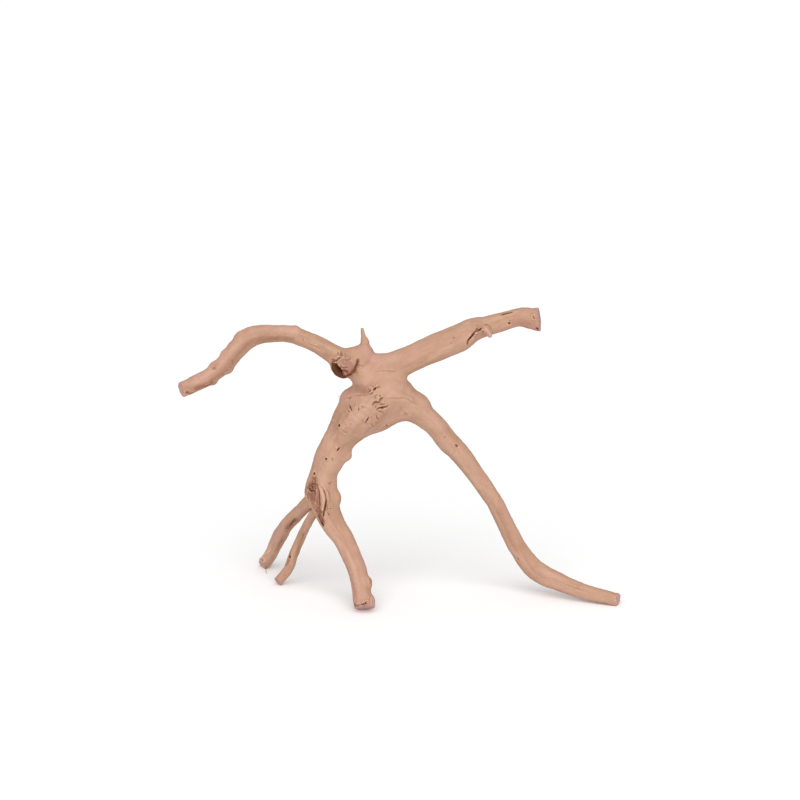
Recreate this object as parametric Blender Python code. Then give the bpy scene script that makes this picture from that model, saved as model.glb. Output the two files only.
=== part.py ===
"""A bogwood root: one piece of tree root, sawn at its ends, that stands on two legs and a twig.

Metres, +Z up. The sizes below are in millimetres. +X runs along the arms and +Y to the back. The origin lies
under the middle of the root, on the surface that it stands on.
"""
import bmesh
import bpy
import numpy as np
from mathutils import Matrix, Vector

MM = 0.001

# Where the origin lies in the lists below: under the root's middle, on the surface that it stands on
ORIGIN = (4, -1.4, 0.8)

# Limbs from the free end to the body: x, y, z and half thickness, in millimetres
LEFT_ARM = [(-173, -61, 188.5, 5.9), (-157.5, -57, 194.5, 6.8), (-145, -53, 200, 7.1),
            (-134.5, -49, 210, 7.7), (-127, -45, 219, 7.6), (-116, -40, 227.5, 7.9), (-99, -33, 228.5, 6.5),
            (-84.5, -27, 225.5, 7), (-66.5, -21, 217, 6.7), (-55, -17, 209, 7.4), (-40, -13, 199, 8.8),
            (-22, -12, 186, 12)]
RIGHT_ARM = [(116, 5, 231.5, 10.6), (108, 5, 231.5, 9.2), (99, 5, 233, 8), (92, 4, 232.5, 7.2),
             (80.5, 3, 229, 7.7), (70, 1, 226.5, 8), (58, -1, 223.5, 9.4), (47.5, -3, 217.5, 10.8),
             (32.5, -6, 212, 10.9), (12.5, -9, 204.5, 10.4), (-7, -12, 196, 12.4), (-22, -12, 183.5, 13)]
RIGHT_LEG = [(184, -33, 5, 5.2), (171.5, -30, 6.3, 5.6), (149, -22, 9.5, 6.1), (129.5, -14, 14.5, 7.4),
             (112, -8, 22, 8), (98.6, -4, 38.2, 7.1), (90.2, -2, 54, 6.8), (79, -1, 76.5, 6.6),
             (70, -2, 91, 7), (60, -3, 105.5, 7.4), (48.5, -5, 121.5, 8.4), (38, -7, 133.5, 9.4),
             (28.5, -9, 146.5, 9.4), (12, -11, 161, 11.4), (-5, -13, 175, 16)]
MAIN_LEG = [(-26.5, -55, -1, 8.6), (-30, -43.5, 9.5, 8.3), (-31, -37, 15, 8), (-32.5, -31, 22.5, 8),
            (-37, -24.5, 33.5, 7.8), (-46, -16, 51.5, 8), (-54.5, -12, 63.5, 9.2), (-60.5, -9, 77, 10.8),
            (-64, -7, 87, 12.6), (-64, -6, 98, 11.8), (-61.5, -6, 108.5, 11.3), (-56.5, -7, 120, 12.2),
            (-47.3, -9, 138, 13.2), (-35, -12, 155.5, 18), (-19, -14, 173.5, 20)]
THICK_TWIG = [(-122, 60, -3, 5), (-117, 57, 4.5, 5.4), (-111.5, 54, 13, 5.8), (-106.5, 49, 24.5, 5.9),
              (-102, 43, 35, 6.4), (-97, 36, 45, 5.7), (-90, 27, 55, 5.9), (-82.5, 15, 66, 5.4),
              (-75, 3, 77, 5.6), (-65, -8, 87.5, 5.6)]
THIN_TWIG = [(-107, 16, -3, 4), (-101, 14.5, 5.5, 4.2), (-93.5, 13, 15.5, 4.3), (-89, 11, 28.5, 4.1),
             (-84.5, 8, 40, 3.9), (-78, 3, 55.5, 3.6), (-71.5, -2, 68.5, 3.7), (-64.5, -7, 81, 4)]
WEB = [(-30, -12, 149, 9.5), (-19, -12, 153.5, 11.8), (-7, -12, 159.5, 12), (4, -12, 163, 11.8),
       (13, -11, 163, 11.3)]
SPIKE = [(-30.5, -15, 230, 1.1), (-30.5, -15, 226, 1.6), (-29.6, -15, 220.5, 2.3), (-29, -14, 215, 3.3),
         (-26.5, -13, 207, 5)]
STUB = [(72.3, -12, 220.8, 1.9), (69.5, -12, 223, 3.2), (65.5, -10, 227, 3.6), (60, -6, 228.5, 3.5)]
KNOT = [(-45.3, -22, 200, 10.8), (-43, -18, 199, 9.6)]
SLIT_LIP = [(53, -7, 213.5, 3.2), (57.5, -9, 219, 3.2), (63.5, -9, 224.5, 3)]

# Each limb's line, its depth from front to back against its height, its fillet, and how lobed it is
LIMBS = {
    "main leg": (MAIN_LEG, 0.9, 0, 0.04),
    "right leg": (RIGHT_LEG, 0.95, 10, 0.05),
    "web": (WEB, 0.9, 4, 0),
    "right arm": (RIGHT_ARM, 0.95, 5, 0.04),
    "left arm": (LEFT_ARM, 1, 4, 0.04),
    "thick twig": (THICK_TWIG, 1, 4, 0.05),
    "thin twig": (THIN_TWIG, 1, 3, 0.05),
    "spike": (SPIKE, 0.8, 3, 0),
    "stub": (STUB, 1, 2, 0),
    "slit lip": (SLIT_LIP, 1, 2, 0),
    "knot": (KNOT, 1, 2, 0),
}

# Round swellings: x, y, z and radius
LUMPS = [(-37, -14, 203.5, 9), (-30, -14, 205.5, 8.5), (-16, -13, 198.8, 9.5), (-41, -12, 170, 8),
         (-26.5, -15, 217.5, 1.6), (-82.5, -27, 231, 2), (-146, -53, 206, 2.6), (-138.5, -50, 213.5, 2),
         (-131.5, -45, 222, 2), (-51, -9, 86, 4.2), (-25, -34, 21, 2), (-24, -44.5, 9, 3.8),
         (-40.7, -10, 121, 2)]
LUMP_BLEND = 4

# Sunk and raised marks: depth into the wood, half width, and the line that each follows
MARKS = {
    "knot hollow": (4.5, 2.8, [(-52, -29, 201), (-50.5, -31, 197.5), (-47.5, -31, 194)]),
    "knot crease": (2.4, 1.3, [(-32, -29, 204.5), (-33.5, -30, 199), (-35.5, -28, 193.5),
                               (-39, -26, 190.5)]),
    "knot brow": (-1.6, 1.8, [(-53, -28, 204), (-46.5, -32, 206), (-39, -31, 204)]),
    "knot fold": (1.8, 1.1, [(-47, -27, 208.5), (-52, -26, 205)]),
    "knot curl": (-1.4, 1.2, [(-46, -32, 194.5), (-44, -32, 197), (-42, -31, 195)]),
    "slit": (4, 1.2, [(54, -12, 213.5), (56.5, -14, 220), (60.5, -14, 225), (65, -13, 228)]),
    "stub notch": (1.6, 1.2, [(66, -12, 223), (68.5, -13, 222)]),
    "body hollow": (1.8, 5, [(-30, -32, 181), (-26, -32, 178.5)]),
    "gash": (2.2, 1.2, [(-19, -34, 165), (-14.5, -34, 168), (-9, -34, 171)]),
    "upper wrinkle": (1.5, 1, [(-24, -34, 182), (-16.5, -34, 185.5)]),
    "middle wrinkle": (1.5, 1, [(-20.5, -34, 173.5), (-12, -34, 177)]),
    "left wrinkle": (1.5, 1, [(-40.5, -32, 170), (-38, -32, 164.5)]),
    "short slit": (1.8, 1, [(-27.5, -33, 155.5), (-24, -33, 160.5)]),
    "leg crease": (1, 1.3, [(-11.5, -34, 178), (5, -27, 175.5), (10.5, -22, 169.5), (17, -20, 166)]),
    "scar": (2.2, 4, [(-71.5, -15, 108), (-72.5, -17, 97), (-69.5, -20, 84), (-64, -19, 68)]),
    "scar sliver": (-2.6, 1.7, [(-66, -19, 99.5), (-63, -21, 91), (-63, -20, 76)]),
    "scar crack": (2.2, 1, [(-60, -20, 92), (-60, -20, 84), (-62.5, -19, 72)]),
    "scar rim": (-1.2, 1.6, [(-75, -14, 104), (-77, -14, 92), (-73, -14, 80)]),
    "top split": (1.6, 1.1, [(81, -1, 238), (90, 1, 241)]),
    "leg streak": (0.9, 1.2, [(27, -9, 162), (38, -7, 148)]),
    "foot crack": (1.8, 1, [(-33, -55, 7.5), (-29, -57, 9), (-26, -57, 10.5)]),
    "thick twig scar": (1, 1.6, [(-89, 19, 55), (-84, 12, 61)]),
}
PITS = [(-49, -25, 151.5), (-49.5, -22, 130.5), (-59.5, -19, 121.5), (-54.5, -19, 121.5),
        (-57, -17, 101), (36, -15, 139), (46, -14, 130.5), (82.5, -7, 82), (87, -6, 230),
        (-31.5, -40, 25.5), (-143.5, -58, 206)]
PIT_DEPTH = 1.2
PIT_WIDTH = 1.2

# Saw cuts: a point on the cut, the way the cut faces, and how wide the stock is there
CUTS = [((-170.5, -60.5, 190), (-0.93, -0.26, -0.31), 30), ((112.3, 5, 232), (0.988, -0.03, 0.15), 36),
        ((178.9, -31, 5.7), (0.91, -0.35, -0.2), 24), ((-29, -47, 4.2), (0.05, -0.6, -0.8), 34),
        ((-118.5, 58, 2.8), (-0.6, 0.1, -0.79), 22), ((-103.4, 14.9, 3.8), (-0.74, -0.1, -0.66), 18)]
CUT_LENGTH = 18
FLOOR_CUT = (460, 260, 20)

# How a limb's cross-section swells: waves round it, length of limb to a radian of twist, share
LOBE_WAVES = ((2, -38, 1), (3, 23, 0.6))

# Rough stock, and how finely the skin is kept
VOXEL = 1.4
TRIANGLES = 10400

# How far round a limb its field is worked out, the height beyond that, and the least values divided by
REACH = 25
FAR = 1e3
LEAST_SLOPE = 0.2
LEAST_LENGTH = 1e-6

WOOD_COLOUR = (0.578, 0.347, 0.25, 1)
WOOD_ROUGHNESS = 0.85


def smooth_route(points, steps=5):
    """Rows of x, y, z and half thickness on a smooth curve through a limb's points."""
    points = np.array(points, dtype=float)
    guides = np.vstack([2 * points[0] - points[1], points, 2 * points[-1] - points[-2]])
    share = np.linspace(0, 1, steps, endpoint=False)[:, None]
    rows = []
    for before, start, end, after in zip(guides, guides[1:], guides[2:], guides[3:]):
        slope = end - before
        bend = 2 * before - 5 * start + 4 * end - after
        twist = 3 * start - before - 3 * end + after
        rows.append(0.5 * (2 * start + slope * share + bend * share ** 2 + twist * share ** 3))
    rows.append(points[-1:])
    return np.vstack(rows)


def lengths_of(offset):
    """Length of each row, never zero, as a column."""
    return np.maximum(np.linalg.norm(offset, axis=1), LEAST_LENGTH)[:, None]


def limb_field(where, rows, depth, lobes):
    """Height of each point over a limb's skin, and the slope of that height."""
    height = np.full(len(where), FAR)
    slope = np.zeros_like(where)
    low = rows[:, :3].min(axis=0) - rows[:, 3].max() - REACH
    high = rows[:, :3].max(axis=0) + rows[:, 3].max() + REACH
    near = np.flatnonzero(((where > low) & (where < high)).all(axis=1))
    if len(near) == 0:
        return height, slope
    squash = np.array([1, 1 / depth, 1])
    points = where[near]
    gap = np.full(len(near), FAR)
    nearest = np.zeros(len(near), dtype=int)
    axes = np.diff(rows[:, :3], axis=0)
    lengths = np.linalg.norm(axes, axis=1)
    for number, (start, axis, length) in enumerate(zip(rows, axes, lengths)):
        offset = points - start[:3]
        share = np.clip(offset @ (axis / length ** 2), 0, 1)
        offset = (offset - share[:, None] * axis) * squash
        radius = start[3] + share * (rows[number + 1, 3] - start[3])
        here = np.sqrt(np.einsum("ij,ij->i", offset, offset)) - radius
        closer = here < gap
        gap[closer] = here[closer]
        nearest[closer] = number
    start = rows[nearest]
    axis = axes[nearest]
    offset = points - start[:, :3]
    share = np.clip((offset * axis).sum(axis=1) / lengths[nearest] ** 2, 0, 1)
    offset = (offset - share[:, None] * axis) * squash
    girth = start[:, 3] + share * (rows[nearest + 1, 3] - start[:, 3])
    along = np.concatenate([[0], np.cumsum(lengths)])[nearest] + share * lengths[nearest]
    side = np.cross(axis / lengths[nearest][:, None], (0, 1, 0))
    turn = np.arctan2((offset * side).sum(axis=1), offset[:, 1])
    for waves, twist, share_of_lobe in LOBE_WAVES:
        gap -= girth * lobes * share_of_lobe * np.cos(waves * turn - along / twist)
    height[near] = gap
    slope[near] = offset * squash / lengths_of(offset)
    return height, slope


def blend(first, second, width):
    """Two fields joined with a fillet of the given width."""
    height, slope = first
    other, other_slope = second
    if width == 0:
        share = (height < other).astype(float)
    else:
        share = np.clip(0.5 + 0.5 * (other - height) / width, 0, 1)
    joined = other + share * (height - other) - width * share * (1 - share)
    return joined, other_slope + share[:, None] * (slope - other_slope)


ROUTES = {name: smooth_route(limb[0]) for name, limb in LIMBS.items()}


def root_field(where):
    """Height of each point over the whole root's skin, and the slope of that height."""
    field = None
    for name, (points, depth, width, lobes) in LIMBS.items():
        limb = limb_field(where, ROUTES[name], depth, lobes)
        field = limb if field is None else blend(field, limb, width)
    for x, y, z, radius in LUMPS:
        offset = where - (x, y, z)
        distance = lengths_of(offset)
        field = blend(field, (distance[:, 0] - radius, offset / distance), LUMP_BLEND)
    return field


def settle(where, rounds=4):
    """Move points straight onto the root's skin."""
    for _ in range(rounds):
        height, slope = root_field(where)
        where = where - slope * (height / np.maximum((slope ** 2).sum(axis=1), LEAST_SLOPE))[:, None]
    return where


def line_distance(where, points):
    """Distance from each point to a line of a few points laid on the skin."""
    line = settle(np.array(points, dtype=float))
    nearest = np.full(len(where), FAR)
    for start, end in zip(line, line[1:]):
        axis = end - start
        share = np.clip((where - start) @ axis / (axis @ axis), 0, 1)
        nearest = np.minimum(nearest, np.linalg.norm(where - start - share[:, None] * axis, axis=1))
    return nearest


def carve(where):
    """Sink and raise the marks, and press in the pits, along the skin's own slope."""
    slope = root_field(where)[1]
    outward = slope / lengths_of(slope)
    sunk = np.zeros(len(where))
    for depth, half_width, points in MARKS.values():
        sunk += depth * np.exp(-(line_distance(where, points) / half_width) ** 2)
    for pit in settle(np.array(PITS, dtype=float)):
        sunk += PIT_DEPTH * np.exp(-(np.linalg.norm(where - pit, axis=1) / PIT_WIDTH) ** 2)
    return where - outward * sunk[:, None]


def clear_scene():
    for item in list(bpy.data.objects):
        bpy.data.objects.remove(item, do_unlink=True)


def limb_tubes():
    """A curve with a closed tube along each limb."""
    curve = bpy.data.curves.new("limb tubes", "CURVE")
    curve.dimensions = "3D"
    curve.bevel_depth = 1.0
    curve.bevel_resolution = 4
    curve.use_fill_caps = True
    for rows in ROUTES.values():
        spline = curve.splines.new("POLY")
        spline.points.add(len(rows) - 1)
        for point, (x, y, z, radius) in zip(spline.points, rows):
            point.co = (x, y, z, 1)
            point.radius = radius
    return bpy.data.objects.new("limb tubes", curve)


def rough_stock():
    """The limb tubes, with a ball on both ends of each and a ball for each lump."""
    shape = bmesh.new()
    shape.from_mesh(evaluated_mesh(limb_tubes()))
    ends = [rows[number] for rows in ROUTES.values() for number in (0, -1)]
    for x, y, z, radius in ends + LUMPS:
        place = Matrix.Translation((x, y, z))
        bmesh.ops.create_icosphere(shape, subdivisions=3, radius=radius, matrix=place)
    mesh = bpy.data.meshes.new("rough stock")
    shape.to_mesh(mesh)
    shape.free()
    return mesh


def evaluated_mesh(item):
    """The mesh of an object with its modifiers applied; the object is removed."""
    bpy.context.scene.collection.objects.link(item)
    graph = bpy.context.evaluated_depsgraph_get()
    mesh = bpy.data.meshes.new_from_object(item.evaluated_get(graph))
    bpy.data.objects.remove(item)
    return mesh


def remeshed(mesh):
    item = bpy.data.objects.new("stock", mesh)
    modifier = item.modifiers.new("Even skin", "REMESH")
    modifier.mode = "VOXEL"
    modifier.voxel_size = VOXEL
    return evaluated_mesh(item)


def reduced(mesh):
    """The mesh in about TRIANGLES triangles, most of them where the skin bends most."""
    item = bpy.data.objects.new("stock", mesh)
    modifier = item.modifiers.new("Fewer faces", "DECIMATE")
    modifier.use_collapse_triangulate = True
    modifier.ratio = TRIANGLES / (2 * len(mesh.polygons))
    return evaluated_mesh(item)


def vertex_places(mesh):
    flat = np.empty(len(mesh.vertices) * 3)
    mesh.vertices.foreach_get("co", flat)
    return flat.reshape(-1, 3)


def place_vertices(mesh, where):
    mesh.vertices.foreach_set("co", where.ravel())
    mesh.update()


def cutter(name, boxes):
    """Boxes to cut away, each given by its size and its place."""
    shape = bmesh.new()
    for size, place in boxes:
        bmesh.ops.create_cube(shape, size=1, matrix=place @ Matrix.Diagonal((*size, 1)))
    mesh = bpy.data.meshes.new(name)
    shape.to_mesh(mesh)
    shape.free()
    item = bpy.data.objects.new(name, mesh)
    item.hide_render = True
    item.display_type = "WIRE"
    bpy.context.scene.collection.objects.link(item)
    return item


def saw_boxes():
    """A box outside each saw cut, its inner face on the cut."""
    for point, facing, width in CUTS:
        facing = Vector(facing).normalized()
        middle = (Vector(point) - Vector(ORIGIN) + facing * CUT_LENGTH / 2) * MM
        turn = facing.to_track_quat("Z", "Y").to_matrix().to_4x4()
        yield Vector((width, width, CUT_LENGTH)) * MM, Matrix.Translation(middle) @ turn


def floor_box():
    size = Vector(FLOOR_CUT) * MM
    return size, Matrix.Translation((0, 0, -size.z / 2))


def cut(item, tool):
    modifier = item.modifiers.new(tool.name, "BOOLEAN")
    modifier.operation = "DIFFERENCE"
    modifier.object = tool


def wood():
    material = bpy.data.materials.new("blasted wood")
    material.use_nodes = True
    shader = material.node_tree.nodes["Principled BSDF"]
    shader.inputs["Base Color"].default_value = WOOD_COLOUR
    shader.inputs["Roughness"].default_value = WOOD_ROUGHNESS
    return material


def build():
    clear_scene()
    mesh = rough_stock()
    for _ in range(2):
        mesh = remeshed(mesh)
        place_vertices(mesh, settle(vertex_places(mesh)))
    place_vertices(mesh, carve(vertex_places(mesh)))
    mesh = reduced(mesh)
    place_vertices(mesh, (vertex_places(mesh) - ORIGIN) * MM)
    mesh.name = "bogwood_root"
    mesh.shade_smooth()
    mesh.materials.clear()
    mesh.materials.append(wood())
    root = bpy.data.objects.new("bogwood_root", mesh)
    bpy.context.scene.collection.objects.link(root)
    cut(root, cutter("saw cuts", saw_boxes()))
    cut(root, cutter("standing flats", [floor_box()]))
    return root


build()
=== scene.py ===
from collections import namedtuple

import bmesh
import bpy
import numpy as np
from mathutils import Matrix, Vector
from mathutils.bvhtree import BVHTree


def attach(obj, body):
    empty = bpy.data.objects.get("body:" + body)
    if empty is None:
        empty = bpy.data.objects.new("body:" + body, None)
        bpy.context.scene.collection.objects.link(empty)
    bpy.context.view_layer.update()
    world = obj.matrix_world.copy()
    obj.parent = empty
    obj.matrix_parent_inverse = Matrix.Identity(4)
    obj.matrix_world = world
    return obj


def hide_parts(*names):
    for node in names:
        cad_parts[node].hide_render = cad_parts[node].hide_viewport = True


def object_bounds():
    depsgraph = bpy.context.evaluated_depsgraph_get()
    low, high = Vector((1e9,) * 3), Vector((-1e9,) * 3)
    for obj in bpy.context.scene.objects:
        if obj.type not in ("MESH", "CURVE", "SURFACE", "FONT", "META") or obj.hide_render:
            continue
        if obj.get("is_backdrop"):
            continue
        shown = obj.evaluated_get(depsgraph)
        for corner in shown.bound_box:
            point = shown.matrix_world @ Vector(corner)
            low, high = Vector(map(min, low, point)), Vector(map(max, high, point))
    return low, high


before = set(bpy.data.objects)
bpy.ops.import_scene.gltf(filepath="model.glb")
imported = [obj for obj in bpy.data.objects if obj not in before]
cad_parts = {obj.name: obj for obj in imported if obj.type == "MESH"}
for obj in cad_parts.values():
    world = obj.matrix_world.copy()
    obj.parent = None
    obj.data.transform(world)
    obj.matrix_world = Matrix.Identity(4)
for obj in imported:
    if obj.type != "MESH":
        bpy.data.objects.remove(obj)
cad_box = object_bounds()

# The root's form is the part's own, in millimetres, and is read off its limbs' centre lines. Marks that show
# in the picture are placed in the picture's pixels, 800 across, and laid on the wood along the line of sight.
MM = 0.001
ORIGIN = np.array((4, -1.4, 0.8))
SEED = 7

# The camera: where it aims, in the root's millimetres, how far off it stands, and how high
AIM = np.array((0, -17, 170))
DISTANCE = 1512
ELEVATION = np.radians(15)
LENS = 85
SENSOR = 36
PICTURE = 800

# The stage: half the floor's side in metres, and the light from all round and from the front and above
FLOOR = 16
FLOOR_GREY = (0.94, 0.94, 0.94, 1)
ALL_ROUND = 0.62
FRONT_LIGHT = 2.45
FRONT_SPREAD = np.radians(80)
FRONT_WAY = (-0.02, 0.78, -0.62)

# How fine the skin is made, in millimetres: everywhere, and beside the narrowest marks
COARSE_VOXEL = 1.2
FINE_VOXEL = 0.6
SHORTEST = 0.24
TRIANGLES = 190000

# Limbs from the free end to the body: x, y, z and half thickness
LEFT_ARM = [(-173, -61, 188.5, 5.9), (-157.5, -57, 194.8, 6.6), (-146.6, -53, 200.2, 6.7),
            (-134.6, -49, 210, 7.2), (-127, -45, 219, 7.5), (-116, -40, 227.2, 7.9), (-99, -33, 228, 6.6),
            (-84.5, -27, 225.8, 6.4), (-66.5, -21, 217, 6.7), (-55, -17, 209, 7.4), (-40, -13, 199, 8.8),
            (-22, -12, 186, 12)]
RIGHT_ARM = [(116, 5, 231.5, 10.6), (108, 5, 231.5, 9.2), (99, 5, 233, 8), (92, 4, 232.5, 7.2),
             (80.5, 3, 229, 7.7), (70, 1, 226.5, 8), (58, -1, 223.5, 9.4), (47.5, -3, 217.5, 10.8),
             (32.5, -6, 212, 10.9), (12.5, -9, 204.2, 10.2), (-7, -12, 195.2, 11.6), (-22, -12, 183.5, 13)]
RIGHT_LEG = [(184, -33, 5, 5.2), (171.5, -30, 6.3, 5.6), (149, -22, 9.5, 6.1), (129.5, -14, 14.5, 7.4),
             (112, -8, 22, 8), (98.6, -4, 38.2, 7.1), (90.2, -2, 54, 6.8), (79, -1, 76.5, 6.6),
             (70, -2, 91, 7), (60, -3, 105.5, 7.4), (48.5, -5, 121.5, 8.4), (37.8, -7, 133.4, 9.1),
             (28.4, -9, 146.6, 9.2), (12, -11, 161, 11), (-5, -13, 175, 16)]
MAIN_LEG = [(-26.5, -55, -1, 8.6), (-30, -43.5, 9.5, 8.3), (-31.4, -37, 15, 7.7), (-33, -31, 22.5, 7.6),
            (-37, -24.5, 33.5, 7.8), (-46, -16, 51.5, 8), (-54.5, -12, 63.5, 9.2), (-60.5, -9, 77, 10.8),
            (-64.2, -7, 88, 12.9), (-63.2, -6, 99, 11.5), (-61, -6, 109, 10.8), (-56.5, -7, 120, 12.2),
            (-47.3, -9, 138, 12.8), (-34.9, -12, 155.5, 17.8), (-19, -14, 173.5, 20)]
THICK_TWIG = [(-122, 60, -3, 5), (-117, 57, 4.5, 5.4), (-111.5, 54, 13, 5.8), (-106.5, 49, 24.5, 5.9),
              (-102, 43, 35, 6.4), (-97, 36, 45, 5.7), (-90, 27, 55, 5.9), (-82.5, 15, 66, 5.4),
              (-75, 3, 77, 5.6), (-65, -8, 87.5, 5.6)]
THIN_TWIG = [(-107, 16, -3, 4), (-101, 14.5, 5.5, 4.2), (-93.5, 13, 15.5, 4.3), (-89, 11, 28.5, 4.1),
             (-84.5, 8, 40, 3.9), (-78, 3, 55.5, 3.6), (-71.5, -2, 68.5, 3.7), (-64.5, -7, 81, 4)]
WEB = [(-30, -12, 149, 9.5), (-19, -12, 153.7, 11.9), (-7, -12, 160.4, 12), (4, -12, 163.5, 11.7),
       (13, -11, 163.2, 11.3)]
SPIKE = [(-30, -15, 230, 1), (-29.7, -15, 226, 1.5), (-28.9, -15, 220.5, 2.3), (-28.4, -14, 215, 3.3),
         (-26.5, -13, 207, 5)]
STUB = [(71.5, -12.5, 221.8, 1.8), (68.8, -12, 225, 2.7), (65.6, -10, 228, 3.4), (60, -6, 228.5, 3.5)]
KNOT = [(-44.8, -22, 199.4, 10.1), (-42.6, -18, 199, 9.2)]
SLIT_LIP = [(53, -7, 213.5, 3.2), (57.5, -9, 219, 3.2), (63.5, -9, 225.2, 2.7)]

# Each limb's line, its depth from front to back against its height, its fillet, how lobed it is, and which of
# three grain maps it lies in, so that limbs that meet lie in different ones
Limb = namedtuple("Limb", "points depth fillet lobes grain")
LIMBS = {
    "main leg": Limb(MAIN_LEG, 0.9, 0, 0.04, 0),
    "right leg": Limb(RIGHT_LEG, 0.95, 10, 0.05, 1),
    "web": Limb(WEB, 0.9, 4, 0, 0),
    "right arm": Limb(RIGHT_ARM, 0.95, 5, 0.04, 2),
    "left arm": Limb(LEFT_ARM, 1, 4, 0.04, 1),
    "thick twig": Limb(THICK_TWIG, 1, 4, 0.05, 1),
    "thin twig": Limb(THIN_TWIG, 1, 3, 0.05, 2),
    "spike": Limb(SPIKE, 0.8, 3, 0, 0),
    "stub": Limb(STUB, 1, 2, 0, 0),
    "slit lip": Limb(SLIT_LIP, 1, 2, 0, 2),
    "knot": Limb(KNOT, 1, 4.5, 0, 0),
}

# Round swellings: x, y, z, radius and fillet
LUMPS = [(-37, -14, 203.5, 9, 4), (-30, -14, 205.5, 8.5, 4), (-16, -13, 198.2, 9.1, 4),
         (-40.3, -12, 169.7, 7.7, 4), (-26.5, -15, 217.5, 1.6, 4), (-82.5, -27, 230.6, 2, 4),
         (-144.7, -53, 207.2, 2.3, 4), (-124.6, -43, 227.6, 3, 5), (-132.9, -49, 203, 2.2, 4),
         (-145.3, -53, 194.4, 2.2, 4), (-136.6, -50, 216.4, 2, 4), (-130.6, -45, 221, 1.6, 4),
         (-52.4, -9, 86.5, 3.6, 5), (-52, -9, 82.5, 2, 5), (-25.8, -34, 23, 1.8, 5),
         (-25.6, -35, 19.6, 1.8, 5), (-24.8, -44.5, 9, 3.7, 4), (-42.5, -10, 121, 2.6, 6)]

# Saw cuts: a point on the cut, the way the cut faces, and how wide the stock is there
CUTS = [((-169.9, -60.5, 190), (-0.9, -0.4, -0.2), 15), ((111.8, 5, 232), (0.975, -0.17, 0.13), 18),
        ((178.4, -31, 5.7), (0.89, -0.44, 0.02), 12), ((-29, -47, 4.2), (0.05, -0.6, -0.8), 17),
        ((-119.6, 57.5, 3.2), (-0.82, -0.5, -0.3), 11), ((-103.4, 14.9, 3.8), (-0.68, -0.5, -0.53), 9)]

# How a limb's cross-section swells: waves round it, length of limb to a radian of twist, share
LOBE_WAVES = ((2, -38, 1), (3, 23, 0.6))

# How far round a limb its field is worked out, the height beyond that, the least values divided by, and how
# close two corners of the solid are one
REACH = 14
FAR = 1e3
LEAST_SLOPE = 0.2
LEAST_LENGTH = 1e-6
SAME_PLACE = 1e-6

# What a mark can stain the wood with, each a vertex attribute from 0 to 1; in some marks dark is painted
# shade and the pale stain is a painted highlight
STAINS = ("dark", "scar", "fresh", "red", "lilac", "burl")

# A mark: the line it follows, how deep it sinks into the wood (raised if under 0), its half width, the height
# of the lips beside it, whether it tapers to its ends, how soft its wall is where its floor is flat, and its
# stains. Lines are in the picture's pixels, all other sizes in millimetres.
Mark = namedtuple("Mark", "path depth width lip tapers wall stains")

# A mark's profile: how many half widths it reaches, how wide its tips are, how much and in what waves its rim
# wanders, where its lip stands and how wide that is, from where it stains, and how its lip is painted pale as
# a highlight
PROFILE_REACH = 3
TIP_SHARE = 0.35
RIM_SWAY = 0.22
RIM_WAVE = 2.6
FRAY_SWAY = 0.1
FRAY_WAVE = 1.1
LINE_SWAY = 0.2
LINE_WAVE = 1.3
LIP_PLACE = 1.8
LIP_WIDTH = 0.75
FAINTEST_STAIN = 0.06
STAIN_RANGE = 0.8
LIP_HIGHLIGHT_SHARE = 2.4
LIP_HIGHLIGHT_START = 0.4
LIP_HIGHLIGHT_WAVE = 2.2

# How finely a mark is cut: its edges' length as a share of its half width, and at most, how many half widths
# that holds for, how fast edges may lengthen beyond, the slack before one is split, and how many half widths
# round the mark are looked at
EDGE_SHARE = 0.6
FINE_EDGE = 0.4
FINE_REACH = 1.7
EDGE_GROWTH = 0.7
EDGE_SLACK = 1.4
EDGE_REACH = 2.2

# A round mark's short line, in pixels, and in millimetres where the picture doesn't show it
DOT = (0.4, 0.2)
HIDDEN_DOT = 0.3

# How far before and behind the aim the wood nearest to a line of sight is looked for
SIGHT_STEPS = range(-90, 90, 2)

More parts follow.
